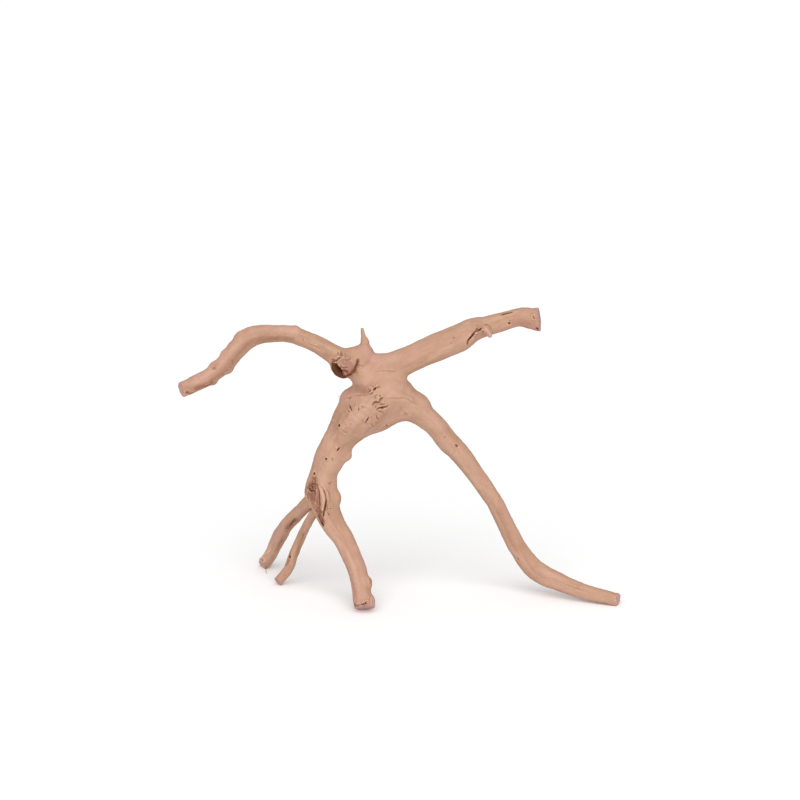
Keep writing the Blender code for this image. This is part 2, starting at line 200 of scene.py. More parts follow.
# A loose fibre: where it leaves the wood and where it goes in the picture, how far it stands out towards the
# camera, its half width, both in millimetres, and how dark it is
Fibre = namedtuple("Fibre", "path rise width shade")
FIBRES = [
    Fibre([(341, 397.4), (338.4, 396.6), (336.6, 395.4)], 0.3, 0.3, 0.3),
    Fibre([(340.6, 398.4), (338.2, 398.6), (336.8, 399.8)], 0.2, 0.24, 0.2),
    Fibre([(336, 414), (333.6, 413.4), (332.2, 413.8)], 0.3, 0.26, 0.2),
    Fibre([(334.6, 420.2), (332.4, 420.6)], 0.2, 0.24, 0.3),
    Fibre([(265.4, 566.6), (266.4, 569), (266.8, 571), (267.6, 573)], 9, 0.42, 0.9),
    Fibre([(537, 309.4), (538.2, 307.6), (539.4, 307)], 0.3, 0.24, 0.1),
    Fibre([(532.2, 318.8), (531.6, 316.4), (532.8, 314.8), (534.8, 315.2), (535.4, 317)], 1.2, 0.55, 0),
    Fibre([(534, 319.8), (535.6, 319.4), (536.2, 317.6)], 1.1, 0.45, 0),
    Fibre([(307.2, 484.6), (306.4, 487.2), (306.8, 490.4)], 0.5, 0.24, 0.5),
    Fibre([(316.8, 489), (316.2, 493), (316.8, 497.4)], 0.6, 0.26, 0.4),
    Fibre([(326.6, 492), (328, 496.4), (328.2, 500.4)], 0.5, 0.28, 0),
    Fibre([(321.8, 510.8), (322.6, 513.8), (322, 517)], 0.7, 0.26, 0),
    Fibre([(325.6, 513), (326.4, 516.4), (325.8, 520)], 0.6, 0.28, 0.1),
    Fibre([(318.6, 509.4), (317.8, 512.6), (318.8, 515.8)], 0.5, 0.24, 0.5),
    Fibre([(469, 343.4), (470.2, 340.6), (472.2, 338.2)], 0.5, 0.24, 0.1),
    Fibre([(475, 334), (477.4, 332.4), (479.8, 331.4)], 0.5, 0.24, 0.1),
    Fibre([(357.8, 604.4), (360.6, 603.2), (363.4, 603)], 0.5, 0.26, 0),
    Fibre([(366.2, 603.6), (367.4, 601.2), (366.8, 599.4)], 0.6, 0.26, 0),
    Fibre([(337.2, 361.4), (335.2, 362.6), (333, 362.4)], 0.6, 0.26, 0),
    Fibre([(366.4, 407.4), (364, 409.6), (361.4, 409.8)], 0.4, 0.24, 0),
]

# How deep a fibre is rooted, how fast it stands out, how thin it ends, and how much darker it starts
FIBRE_ROOT = 0.3
FIBRE_BEND = 0.5
FIBRE_TIP = 0.3
FIBRE_SHADE = 0.3

# Short fibres round each sawn end: how many, how near the rim and how high they stand, how much they lean and
# stray, where their points lie for their length, and their length, half width and shade
FUZZ = 16
FUZZ_RIM = 1
FUZZ_LOWEST = 2
FUZZ_STEPS = np.linspace(-0.4, 1, 4)[:, None]
FUZZ_LEAN = 0.5
FUZZ_STRAY = 0.08
FUZZ_LENGTH = (0.4, 1.1)
FUZZ_WIDTH = (0.07, 0.13)
FUZZ_SHADE = (0, 0.6)

# Marks drawn at random where the picture doesn't show the wood: how many, and the ranges of their depth or
# height, half width, main stain and reach along the grain
Hidden = namedtuple("Hidden", "count depth width stain reach")
HIDDEN_CRACKS = Hidden(44, (0.4, 1.4), (0.3, 0.7), (0.2, 0.8), (1, 6))
HIDDEN_GROOVES = Hidden(30, (0.2, 0.5), (0.8, 1.5), 0.12, (5, 14))
HIDDEN_SCARS = Hidden(9, 0.4, (1.8, 3.6), (0.5, 0.9), (3, 9))
HIDDEN_PITS = Hidden(36, (0.4, 1.3), (0.45, 0.9), (0.2, 0.9), None)
HIDDEN_BUMPS = Hidden(50, (0.3, 0.8), (0.5, 1.6), (0, 0.3), None)
HIDDEN_LIP = 0.3
HIDDEN_WALL = 0.8
SCAR_BURL = 0.9
SCAR_DARK = 0.1

# How their width runs from end to end, how they stray from the grain and how crooked they are for their reach
HIDDEN_TAPER = np.array((0.5, 0.85, 1, 1, 0.8, 0.45))
GRAIN_STRAY = 0.2
CROOKED = 0.06

# How far a place has to face away from the camera, and how high it has to lie, to be out of sight or behind
OUT_OF_SIGHT = (0.3, 12)
BEHIND = (0.8, 25)

# Saw cuts: a way that no cut faces, and how sharp a cut's rim and face are; its radial checks' number, turn
# from one to the next, half width, depth, stain, and how far from the middle they start and how soon they are
# full; its saw lines', rings' and pith's depth and size
OFF_FACE = (0, 1, 0.3)
RIM_SHARP = 0.35
FACE_SHARP = 0.3
CHECKS = 4
CHECK_TURN = 1.7
CHECK_WIDTH = 0.35
CHECK_DEPTH = 0.5
CHECK_DARK = 0.3
CHECK_START = 1
CHECK_FADE = 3
SAW_LINE_DEPTH = 0.06
SAW_LINE_PITCH = 0.9
RING_DEPTH = 0.05
RING_PITCH = 1.1
PITH_DEPTH = 0.5
PITH_SIZE = 0.8
SAWN_LEAST = 0.01

# How softly one grain map gives way to the next
MAP_SOFTNESS = 2.5

# Directions and phases of the waves that make a mark's outline uneven, their height and their pitch
WAVES = np.random.default_rng(SEED).normal(size=(3, 7))
PHASES = np.arange(7)
WAVE_HEIGHT = 1.6
WAVE_PITCH = 3.7


# The field


def smooth_route(points, steps=5):
    """Rows on a smooth curve through a limb's points."""
    points = np.array(points, dtype=float)
    guides = np.vstack([2 * points[0] - points[1], points, 2 * points[-1] - points[-2]])
    share = np.linspace(0, 1, steps, endpoint=False)[:, None]
    rows = []
    for before, start, end, after in zip(guides, guides[1:], guides[2:], guides[3:]):
        slope = end - before
        bend = 2 * before - 5 * start + 4 * end - after
        twist = 3 * start - before - 3 * end + after
        rows.append(0.5 * (2 * start + slope * share + bend * share ** 2 + twist * share ** 3))
    rows.append(points[-1:])
    return np.vstack(rows)


ROUTES = {name: smooth_route(limb.points) for name, limb in LIMBS.items()}


def lengths_of(offset):
    """Length of each row, never zero, as a column."""
    return np.maximum(np.linalg.norm(offset, axis=1), LEAST_LENGTH)[:, None]


def limb_places(points, rows, depth):
    """Each point's gap to a limb's plain skin, offset from its line, girth, and place along and across."""
    squash = np.array([1, 1 / depth, 1])
    gap = np.full(len(points), FAR)
    nearest = np.zeros(len(points), dtype=int)
    axes = np.diff(rows[:, :3], axis=0)
    lengths = np.linalg.norm(axes, axis=1)
    for number, (start, axis, length) in enumerate(zip(rows, axes, lengths)):
        offset = points - start[:3]
        share = np.clip(offset @ (axis / length ** 2), 0, 1)
        offset = (offset - share[:, None] * axis) * squash
        radius = start[3] + share * (rows[number + 1, 3] - start[3])
        here = np.sqrt(np.einsum("ij,ij->i", offset, offset)) - radius
        closer = here < gap
        gap[closer] = here[closer]
        nearest[closer] = number
    start = rows[nearest]
    axis = axes[nearest]
    offset = points - start[:, :3]
    share = np.clip((offset * axis).sum(axis=1) / lengths[nearest] ** 2, 0, 1)
    offset = (offset - share[:, None] * axis) * squash
    girth = start[:, 3] + share * (rows[nearest + 1, 3] - start[:, 3])
    along = np.concatenate([[0], np.cumsum(lengths)])[nearest] + share * lengths[nearest]
    side = np.cross(axis / lengths[nearest][:, None], (0, 1, 0))
    across = (offset * side).sum(axis=1)
    return gap, offset * squash, girth, np.stack([along, across, offset[:, 1]], axis=1)


def near_limb(where, rows):
    """Which points lie within reach of a limb."""
    low = rows[:, :3].min(axis=0) - rows[:, 3].max() - REACH
    high = rows[:, :3].max(axis=0) + rows[:, 3].max() + REACH
    return np.flatnonzero(((where > low) & (where < high)).all(axis=1))


def limb_field(where, name):
    """Height of each point over a limb's skin, and the slope of that height."""
    height = np.full(len(where), FAR)
    slope = np.zeros_like(where)
    limb = LIMBS[name]
    near = near_limb(where, ROUTES[name])
    if len(near):
        gap, offset, girth, place = limb_places(where[near], ROUTES[name], limb.depth)
        turn = np.arctan2(place[:, 1], place[:, 2])
        for waves, twist, share in LOBE_WAVES:
            gap -= girth * limb.lobes * share * np.cos(waves * turn - place[:, 0] / twist)
        height[near] = gap
        slope[near] = offset / lengths_of(offset)
    return height, slope


def blend(first, second, width):
    """Two fields joined with a fillet of the given width."""
    height, slope = first
    other, other_slope = second
    if width == 0:
        share = (height < other).astype(float)
    else:
        share = np.clip(0.5 + 0.5 * (other - height) / width, 0, 1)
    joined = other + share * (height - other) - width * share * (1 - share)
    return joined, other_slope + share[:, None] * (slope - other_slope)


def skin_field(where):
    """Height of each point over the root's skin, as it grew, and the slope of that height."""
    field = None
    for name, limb in LIMBS.items():
        here = limb_field(where, name)
        field = here if field is None else blend(field, here, limb.fillet)
    for x, y, z, radius, fillet in LUMPS:
        offset = where - (x, y, z)
        distance = lengths_of(offset)
        field = blend(field, (distance[:, 0] - radius, offset / distance), fillet)
    return field


def cut_places(where, cut):
    """Each point's height over a saw cut, its place on the cut's face, and whether it lies near the cut."""
    point, facing, width = cut
    facing = np.array(facing) / np.linalg.norm(facing)
    offset = where - point
    height = offset @ facing
    on_face = offset - height[:, None] * facing
    return height, on_face, facing, np.linalg.norm(on_face, axis=1) < width


def cut_field(where, field):
    """The field of the skin with the sawn ends and the standing flats taken off."""
    height, slope = field
    height = height.copy()
    slope = slope.copy()
    for cut in CUTS:
        over, _, facing, close = cut_places(where, cut)
        on_cut = close & (over > height)
        height[on_cut] = over[on_cut]
        slope[on_cut] = facing
    under = ORIGIN[2] - where[:, 2]
    on_floor = under > height
    height[on_floor] = under[on_floor]
    slope[on_floor] = (0, 0, -1)
    return height, slope


def settle(where, rounds=3):
    """Move points straight onto the root's surface."""
    for _ in range(rounds):
        height, slope = cut_field(where, skin_field(where))
        where = where - slope * (height / np.maximum((slope ** 2).sum(axis=1), LEAST_SLOPE))[:, None]
    return where


# Meshes


def vertex_places(mesh):
    flat = np.empty(len(mesh.vertices) * 3)
    mesh.vertices.foreach_get("co", flat)
    return flat.reshape(-1, 3)


def place_vertices(mesh, where):
    mesh.vertices.foreach_set("co", where.ravel())
    mesh.update()


def store(mesh, name, values):
    """Keep numbers or vectors on a mesh's vertices."""
    kind, field = ("FLOAT", "value") if values.ndim == 1 else ("FLOAT_VECTOR", "vector")
    layer = mesh.attributes.new(name, kind, "POINT")
    layer.data.foreach_set(field, values.astype(np.float32).ravel())


def with_modifiers(mesh, *makers):
    """The mesh with modifiers applied; each maker adds one to an object that holds the mesh."""
    item = bpy.data.objects.new(mesh.name, mesh)
    bpy.context.scene.collection.objects.link(item)
    for maker in makers:
        maker(item)
    graph = bpy.context.evaluated_depsgraph_get()
    made = bpy.data.meshes.new_from_object(item.evaluated_get(graph))
    bpy.data.objects.remove(item)
    return made


def voxels(size):
    def maker(item):
        modifier = item.modifiers.new("Even skin", "REMESH")
        modifier.mode = "VOXEL"
        modifier.voxel_size = size
    return maker


def fewer_faces(count):
    def maker(item):
        modifier = item.modifiers.new("Fewer faces", "DECIMATE")
        modifier.use_collapse_triangulate = True
        modifier.ratio = min(1, count / len(item.data.polygons))
    return maker


def stock():
    """A merged copy of the root's solid, in the root's millimetres."""
    shape = bmesh.new()
    shape.from_mesh(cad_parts["bogwood_root"].data)
    bmesh.ops.remove_doubles(shape, verts=shape.verts, dist=SAME_PLACE)
    bmesh.ops.scale(shape, vec=(1 / MM, 1 / MM, 1 / MM), verts=shape.verts)
    bmesh.ops.translate(shape, vec=ORIGIN, verts=shape.verts)
    mesh = bpy.data.meshes.new("stock")
    shape.to_mesh(mesh)
    shape.free()
    return mesh


def even_skin(mesh, voxel):
    """The root's whole surface in small even faces."""
    mesh = with_modifiers(mesh, voxels(voxel))
    place_vertices(mesh, settle(vertex_places(mesh)))
    return mesh


def triangles_of(mesh):
    mesh.calc_loop_triangles()
    flat = np.empty(len(mesh.loop_triangles) * 3, dtype=np.int32)
    mesh.loop_triangles.foreach_get("vertices", flat)
    return flat.reshape(-1, 3).astype(np.int64)


def mesh_of(name, where, faces):
    mesh = bpy.data.meshes.new(name)
    mesh.from_pydata(where.tolist(), [], faces.tolist())
    return mesh


def split_edges(where, faces, longest):
    """Split each edge that is longer than its ends allow, with no loose corner left on its neighbours."""
    corners = np.sort(np.stack([faces, np.roll(faces, -1, axis=1)], axis=2), axis=2).reshape(-1, 2)
    codes, back = np.unique(corners @ (len(where), 1), return_inverse=True)
    ends = np.stack(np.divmod(codes, len(where)), axis=1)
    length = np.linalg.norm(where[ends[:, 0]] - where[ends[:, 1]], axis=1)
    chosen = length > longest[ends].mean(axis=1)
    middle = np.full(len(ends), -1)
    middle[chosen] = len(where) + np.arange(chosen.sum())
    middle = middle[back.ravel()].reshape(-1, 3)
    count = (middle >= 0).sum(axis=1)
    turn = np.where(count == 1, (middle >= 0).argmax(axis=1), (middle < 0).argmax(axis=1) + 1)
    order = (turn[:, None] + np.arange(3)) % 3
    a, b, c = np.take_along_axis(faces, order, axis=1).T
    p, q, r = np.take_along_axis(middle, order, axis=1).T
    pieces = {0: [(a, b, c)], 1: [(a, p, c), (p, b, c)], 2: [(p, b, q), (a, p, q), (a, q, c)],
              3: [(a, p, r), (p, b, q), (r, q, c), (p, q, r)]}
    made = [np.stack(corner, axis=1)[count == number] for number, parts in pieces.items() for corner in parts]
    added = where[ends[chosen]].mean(axis=1)
    return np.vstack([where, settle(added, 2)]), np.vstack(made)


def allowed_lengths(where, placed):
    """How long an edge may be at each point: short beside the narrow marks."""
    longest = np.full(len(where), FAR)
    for mark, line, spread in placed:
        shortest = np.clip(EDGE_SHARE * spread.min(), SHORTEST, FINE_EDGE)
        near = close_to(line, EDGE_REACH * spread.max() + 1, where)
        distance, _ = line_distance(where[near], line)
        beyond = np.maximum(0, distance - FINE_REACH * spread.max())
        allowed = EDGE_SLACK * shortest + EDGE_GROWTH * beyond
        longest[near] = np.minimum(longest[near], allowed)
    return longest


# The line of sight


def sight_axes():
    """The camera's eye, and its ways forward, right and up, in the root's millimetres."""
    back = np.array((0, -np.cos(ELEVATION), np.sin(ELEVATION)))
    up = np.array((0, np.sin(ELEVATION), np.cos(ELEVATION)))
    return AIM + DISTANCE * back, -back, np.array((1, 0, 0)), up


def laid_on(tree, picture_places):
    """Where places in the picture lie on the wood."""
    eye, forward, right, up = sight_axes()
    focal = LENS / SENSOR * PICTURE
    found = []
    for x, y in picture_places:
        way = forward + (x - PICTURE / 2) / focal * right - (y - PICTURE / 2) / focal * up
        hit = tree.ray_cast(Vector(eye), Vector(way))[0]
        if hit is None:
            steps = [Vector(eye + way * (DISTANCE + step)) for step in SIGHT_STEPS]
            hit = min((tree.find_nearest(step) for step in steps), key=lambda near: near[3])[0]
        found.append(hit)
    return np.array(found)


def close_to(line, reach, where):
    """Which points lie within the box round a line."""
    low = line.min(axis=0) - reach
    high = line.max(axis=0) + reach
    return np.flatnonzero(((where > low) & (where < high)).all(axis=1))


def line_distance(where, line):
    """Each point's distance to a line of a few points, and how far along the line it lies, from 0 to 1."""
    nearest = np.full(len(where), FAR)
    along = np.zeros(len(where))
    steps = np.linalg.norm(np.diff(line, axis=0), axis=1)
    total = max(steps.sum(), LEAST_LENGTH)
    passed = 0
    for start, end, step in zip(line, line[1:], steps):
        axis = end - start
        share = np.clip((where - start) @ axis / max(axis @ axis, LEAST_LENGTH), 0, 1)
        distance = np.linalg.norm(where - start - share[:, None] * axis, axis=1)
        closer = distance < nearest
        nearest[closer] = distance[closer]
        along[closer] = ((passed + share * step) / total)[closer]
        passed += step
    return nearest, along


# Marks


def crack(path, depth=0.8, width=0.4, dark=0.7, lip=0.2, **stains):
    """A line that opens the wood and closes towards its ends."""
    return Mark(path, depth, width, lip, True, None, dict(dark=dark, **stains))


def ridge(path, height=0.5, width=0.8, **stains):
    """A raised line that fades towards its ends."""
    return Mark(path, -height, width, 0, True, None, stains)


def curl(path, height, width, **stains):
    """A ridge with blunt ends."""
    return Mark(path, -height, width, 0, False, None, stains)


def dot(x, y):
    """The short line of a round mark."""
    return [(x, y), (x + DOT[0], y + DOT[1])]


def bump(x, y, height, width, **stains):
    return curl(dot(x, y), height, width, **stains)


def bumps(*places):
    """Bumps of bare wood: x, y, height, half width, and how pale their tops are: pale wood on some, a painted
    highlight on others.
    """
    return [bump(x, y, height, width, fresh=fresh) for x, y, height, width, fresh in places]


def pit(x, y, depth, width, dark=0.8, lip=0.2, **stains):
    return Mark(dot(x, y), depth, width, lip, False, None, dict(dark=dark, **stains))


def patch(path, depth, wall=0.45, **stains):
    """A flat hollow or a raised field with an uneven rim; each point gives its half width in millimetres."""
    return Mark(path, depth, None, 0, False, wall, stains)


def tint(path, wall=0.45, **stains):
    """A patch of colour alone."""
    return patch(path, 0, wall, **stains)


# A curled burl over an old branch hole: its hollow, its red folds, the crease beside it and its brow
KNOT_MARKS = [
    tint([(343, 355.5, 4.5), (346, 363, 6), (343, 372, 5.5)], burl=0.6),
    patch([(349.4, 354, 2.2), (353, 357.4, 2.6), (356, 361.6, 2.2)], -0.55, 0.9),
    patch([(332.8, 365.6, 3.6), (333.4, 368.8, 6), (335.4, 373.2, 6.4), (339.4, 376.8, 4.6),
          (344, 378, 2.4)], 0.5, 0.4, scar=0.7, dark=0.83),
    patch([(335.6, 365.4, 1.6), (337, 369.4, 2.6), (339.2, 372.6, 2.6), (341, 374, 1.4)], 4, 0.35, dark=1,
          red=0.3),
    tint([(334.6, 365.2, 1.7), (335.4, 368.8, 2), (337.2, 372.2, 1.9)], 0.55, dark=0.9),
    patch([(341.6, 373, 1.4), (342.6, 375.2, 1.6)], 0.6, 0.6, dark=0.7, red=0.9),
    ridge([(333, 367.4), (334, 370), (336.4, 373.6), (340.6, 376)], 0.5, 0.7),
    *bumps((334.4, 369.2, 0.9, 0.8, 0), (334, 372.6, 0.8, 0.7, 0), (338.6, 376.4, 0.6, 0.7, 0),
           (342.6, 376, 0.6, 0.6, 0)),
    patch([(345.4, 363.6, 3), (349, 367, 3.6), (350.6, 371, 2.8)], -0.7, 0.7, red=0.5, lilac=0.2),
    crack([(339.8, 366.4), (342.6, 367.6), (346, 367.6), (348.8, 367)], 0.9, 0.6, 0.35, red=0.5),
    crack([(340.2, 364.6), (341, 366.4)], 0.6, 0.7, 0.4, red=0.4),
    ridge([(340.2, 369), (344, 369.4), (348, 369.2)], 0.6, 0.7, fresh=0.35),
    crack([(340.6, 370.6), (343.6, 370.5), (346.8, 371.4), (347.8, 374)], 1.3, 0.95, 0.6, 0, red=0.9),
    curl([(342.4, 373.8), (342.4, 372.4), (343.6, 371.8), (345, 372.6), (345.2, 374)], 1.5, 0.5, lilac=0.6,
          red=0.3),
    bump(349.6, 372.6, 0.8, 1, fresh=0.15, red=0.2),
    bump(343.6, 376.2, 0.6, 0.8, lilac=0.4),
    patch([(344.6, 376.6, 1.2), (348.4, 376.6, 1.7), (351.4, 375.4, 1.6)], 0.5, 0.6, dark=0.75, red=0.9),
    patch([(357.8, 360.6, 1.1), (357, 364.6, 1.6), (355.6, 368.4, 2.5), (353.8, 371.8, 3.3),
          (350.6, 374.8, 2.8)], 1, 0.9, dark=0.6, red=0.9),
    crack([(358.2, 361), (357.4, 364.4), (356.6, 367.6), (356, 370.6), (354.4, 373.6), (351.6, 375.8)], 1.7,
          0.75, 0.75, 0.35, red=0.6),
    crack([(330.8, 359.8), (333.6, 360.4), (336.2, 359.8)], 1, 1.1, 0.5, red=0.3),
    crack([(334.4, 361.2), (336.4, 359.8), (338.2, 358.2), (340.4, 357)], 2.2, 1.15, 0.95, 0.4),
    tint([(332, 362, 1.3), (332, 365, 1.4)], red=0.35),
    # Painted shade on the left arm's underside above the knot, and under the knot's brow
    patch([(327, 356, 3), (333, 357, 2.6), (337.6, 355.4, 1.6)], 0.2, 0.8, red=0.14, dark=0.08),
    tint([(337, 361.6, 2.6), (345, 361, 3.4)], 1, dark=0.2),
    # Bumps with pale tops: raised wood with painted highlights on the brow and the top of the knot
    *bumps((335.4, 362.8, 0.8, 0.8, 0.5), (338.6, 359.8, 0.8, 0.7, 0.6), (340.8, 361.6, 0.5, 0.8, 0),
           (344.4, 361.6, 0.5, 0.7, 0.4), (343, 357, 0.8, 0.8, 0.6), (346.8, 357.2, 0.5, 0.8, 0.3),
           (351.4, 356.6, 0.4, 0.5, 0.3), (343.6, 353, 0.5, 0.6, 0.2), (339.4, 355.2, 0.4, 0.6, 0.2),
           (336.4, 353, 0.4, 0.5, 0.2), (347.6, 362.6, 0.4, 0.6, 0.2)),
    crack([(337.8, 352), (338.6, 353.8)], 0.6, 0.6, 0.35),
    crack([(341.6, 350.6), (341.4, 353.4), (342, 356.6)], 1, 0.9, 0.4),
    crack([(344.8, 352.2), (345.6, 354.6), (348, 355.6)], 0.6, 0.6, 0.3),
    crack([(348.2, 351.4), (350.2, 351.6)], 0.5, 0.5, 0.3),
    crack([(343.6, 358.6), (346, 360), (349.6, 359.4), (350.4, 357.4), (348.6, 356)], 0.6, 0.45, 0.32),
    crack([(345, 355.4), (345.6, 358.4)], 0.4, 0.4, 0.25),
    crack([(359.6, 365.4), (363.4, 366)], 0.35, 0.9, 0.15),
]

# The wrinkled and gashed front of the body, where the arms and legs part
BODY_MARKS = [
    tint([(372, 389, 4.5), (380, 399, 5), (384, 406, 3.5)], burl=0.9),
    tint([(364, 408, 4), (368, 418, 4), (378, 414, 3.5)], burl=0.45),
    tint([(350, 407, 5), (334, 428, 6), (330, 452, 6)], burl=0.6),
    tint([(386, 425, 4), (372, 430, 4)], burl=0.8),
    # A shallow hollow in the body's front, darkened with painted shade
    patch([(356, 388.5, 2.6), (362, 389.5, 3.2), (366, 392.5, 2.8)], 1.1, 0.8, dark=0.2, red=0.08),
    crack([(353.6, 395.2), (359, 395.4), (366.4, 395.2)], 0.6, 0.7, 0.14),
    ridge([(355.6, 397.4), (361, 397.6), (366, 398)], 0.3, 0.9),
    crack([(380.2, 386.2), (378.4, 387.2), (376.2, 387.4)], 0.8, 0.6, 0.45, 0.3),
    crack([(376.4, 387.4), (374.8, 388.8), (373, 390.2)], 1.7, 0.75, 0.85, 0.4),
    crack([(370.8, 389.4), (369.6, 390.8), (368.4, 392)], 1, 0.6, 0.6, 0.4),
    crack([(373.6, 390.6), (372.6, 392.8), (371, 394), (369.4, 394.4)], 0.9, 0.6, 0.45, 0.3),
    pit(368.3, 388.4, 0.6, 0.55, 0.5),
    # Bumps with pale tops beside the cracks: raised wood with painted highlights
    *bumps((371.4, 391.5, 0.7, 0.7, 0.5), (376.3, 384.6, 0.5, 0.5, 0.4), (375.2, 386.6, 0.5, 0.5, 0.35),
           (365.4, 389.2, 0.35, 0.9, 0.1)),
    crack([(372.4, 385.4), (373.4, 387.4)], 0.5, 0.55, 0.3),
    crack([(375, 384.4), (375.6, 385.6)], 0.4, 0.45, 0.3),
    crack([(372.4, 381.2), (373.4, 382.6)], 0.4, 0.6, 0.2),
    *bumps((364.2, 382.6, 0.3, 0.6, 0.2), (367.6, 383.2, 0.3, 0.6, 0.15)),
    crack([(383.2, 397.9), (381.2, 398.6), (380.2, 400), (378.9, 401)], 0.9, 0.6, 0.5, 0.4),
    pit(380.1, 395.9, 0.5, 0.55, 0.45),
    *bumps((382.2, 396.4, 0.5, 0.6, 0.5), (377.6, 396.6, 0.5, 0.7, 0.2), (378.6, 399, 0.5, 0.7, 0.25)),
    crack([(378.4, 394.6), (376, 395.4), (374.6, 397.6), (376.4, 399)], 0.6, 0.55, 0.3),
    crack([(372.3, 406.2), (373, 404.2), (374.4, 402.8), (376.2, 402.3), (378.6, 402.6), (380.2, 401.8)], 1,
          0.7, 0.55, 0.4),
    crack([(379, 404.4), (382, 404.3), (385.4, 404.5)], 0.7, 0.6, 0.4, 0.35),
    crack([(375.4, 406.4), (376, 408.4)], 0.5, 0.5, 0.35),
    crack([(388.2, 404.9), (386.8, 406.6), (384.4, 407.4), (382, 407.8), (379.8, 408), (377.8, 408.7),
          (376.2, 410.2)], 1.6, 0.75, 0.65, 0.4, red=0.4),
    pit(382.2, 407.8, 0.7, 0.9, 0.95, 0),
    crack([(377, 410.3), (379.6, 411.3), (382.4, 412.4), (384, 413.4)], 0.6, 0.7, 0.3, 0.3),
    # Pale ridges and bumps among the gashes: raised wood with painted highlights on top
    ridge([(376.8, 406.6), (380, 405.9), (384, 405.6)], 0.5, 0.6, fresh=0.15),
    ridge([(378.6, 409.6), (382.4, 410), (386, 408.8)], 0.4, 0.6, fresh=0.15),
    crack([(349.2, 404.6), (350, 407.2), (351.2, 409.6), (351.8, 411.2)], 1.2, 0.55, 0.62, 0.35),
    pit(348.5, 411.2, 0.7, 0.6, 0.45),
    ridge([(350.2, 403.6), (351, 405.2)], 0.4, 0.5, fresh=0.5),
    ridge([(355.2, 405.6), (356, 408)], 0.4, 0.5, fresh=0.45),
    crack([(354.6, 403.8), (354.4, 406.8)], 0.5, 0.5, 0.25),
    crack([(358.8, 407.8), (358.4, 409.4), (359.2, 411)], 0.9, 0.6, 0.5),
    bump(359.6, 411.7, 0.3, 0.5, fresh=0.4),
    ridge([(360.4, 409.6), (360.4, 405), (364, 404.6), (367.2, 407), (365, 410), (362, 411)], 0.6, 0.9,
          fresh=0.35),
    pit(362, 407, 0.6, 0.7, 0.3),
    crack([(369, 416.8), (367.7, 419.2), (366.4, 421.2), (364.8, 423.6)], 1.2, 0.65, 0.6, 0.35, red=0.2),
    pit(367.4, 419.6, 0.6, 0.7, 0.8, 0),
    bump(368.8, 421.2, 0.3, 0.6, fresh=0.3),
    crack([(376.6, 414.6), (376.8, 417.2), (378.2, 419.4), (380, 418)], 0.8, 0.55, 0.4),
    bump(378.6, 416.4, 0.35, 0.6, fresh=0.2),
    crack([(371.4, 423), (372.2, 425), (373.4, 427)], 0.6, 0.9, 0.2),
    crack([(372.2, 415.4), (371, 418)], 0.35, 0.6, 0.2),
    pit(349.6, 398.2, 0.6, 1.2, 0.2),
    crack([(344, 399), (348, 397.4), (353, 397)], 0.5, 0.8, 0.22),
    bump(348.5, 382.6, 0.2, 0.5),
    crack([(349.8, 423.4), (352, 424)], 0.3, 0.6, 0.2),
    crack([(355.8, 424.6), (357.4, 425.2)], 0.3, 0.5, 0.2),
    ridge([(354.2, 415), (353.4, 418.4)], 0.3, 0.5, fresh=0.25),
    pit(405.4, 414.5, 0.4, 1.6, 0.12),
    crack([(376, 371.7), (386, 371), (397.5, 371.7)], 0.35, 0.5, 0.18),
    ridge([(384.4, 396.6), (395.5, 396.8), (406.8, 396.4), (412, 400), (420, 404)], 0.2, 1.1),
    crack([(384, 398.6), (395, 398.4), (406.6, 398.4), (411.4, 402), (419.4, 405.6)], 0.25, 0.8, 0.12),
    *bumps((387.4, 420.4, 0.4, 0.6, 0.3), (388.8, 424.6, 0.7, 1, 0), (384.6, 426.4, 0.7, 1, 0),
           (391, 422.4, 0.5, 0.8, 0), (380.4, 428.4, 0.6, 1, 0)),
    crack([(386.4, 424.8), (387.4, 426.8)], 0.6, 0.6, 0.3),
    tint([(368, 434, 1.2), (377, 431.5, 1.5)], lilac=0.6, scar=0.2),
    tint([(372, 357, 4), (390, 358, 4)], 1, lilac=0.25, fresh=0.1),
    tint([(428, 413, 4), (442, 425, 4)], 1, fresh=0.2, lilac=0.15),
]

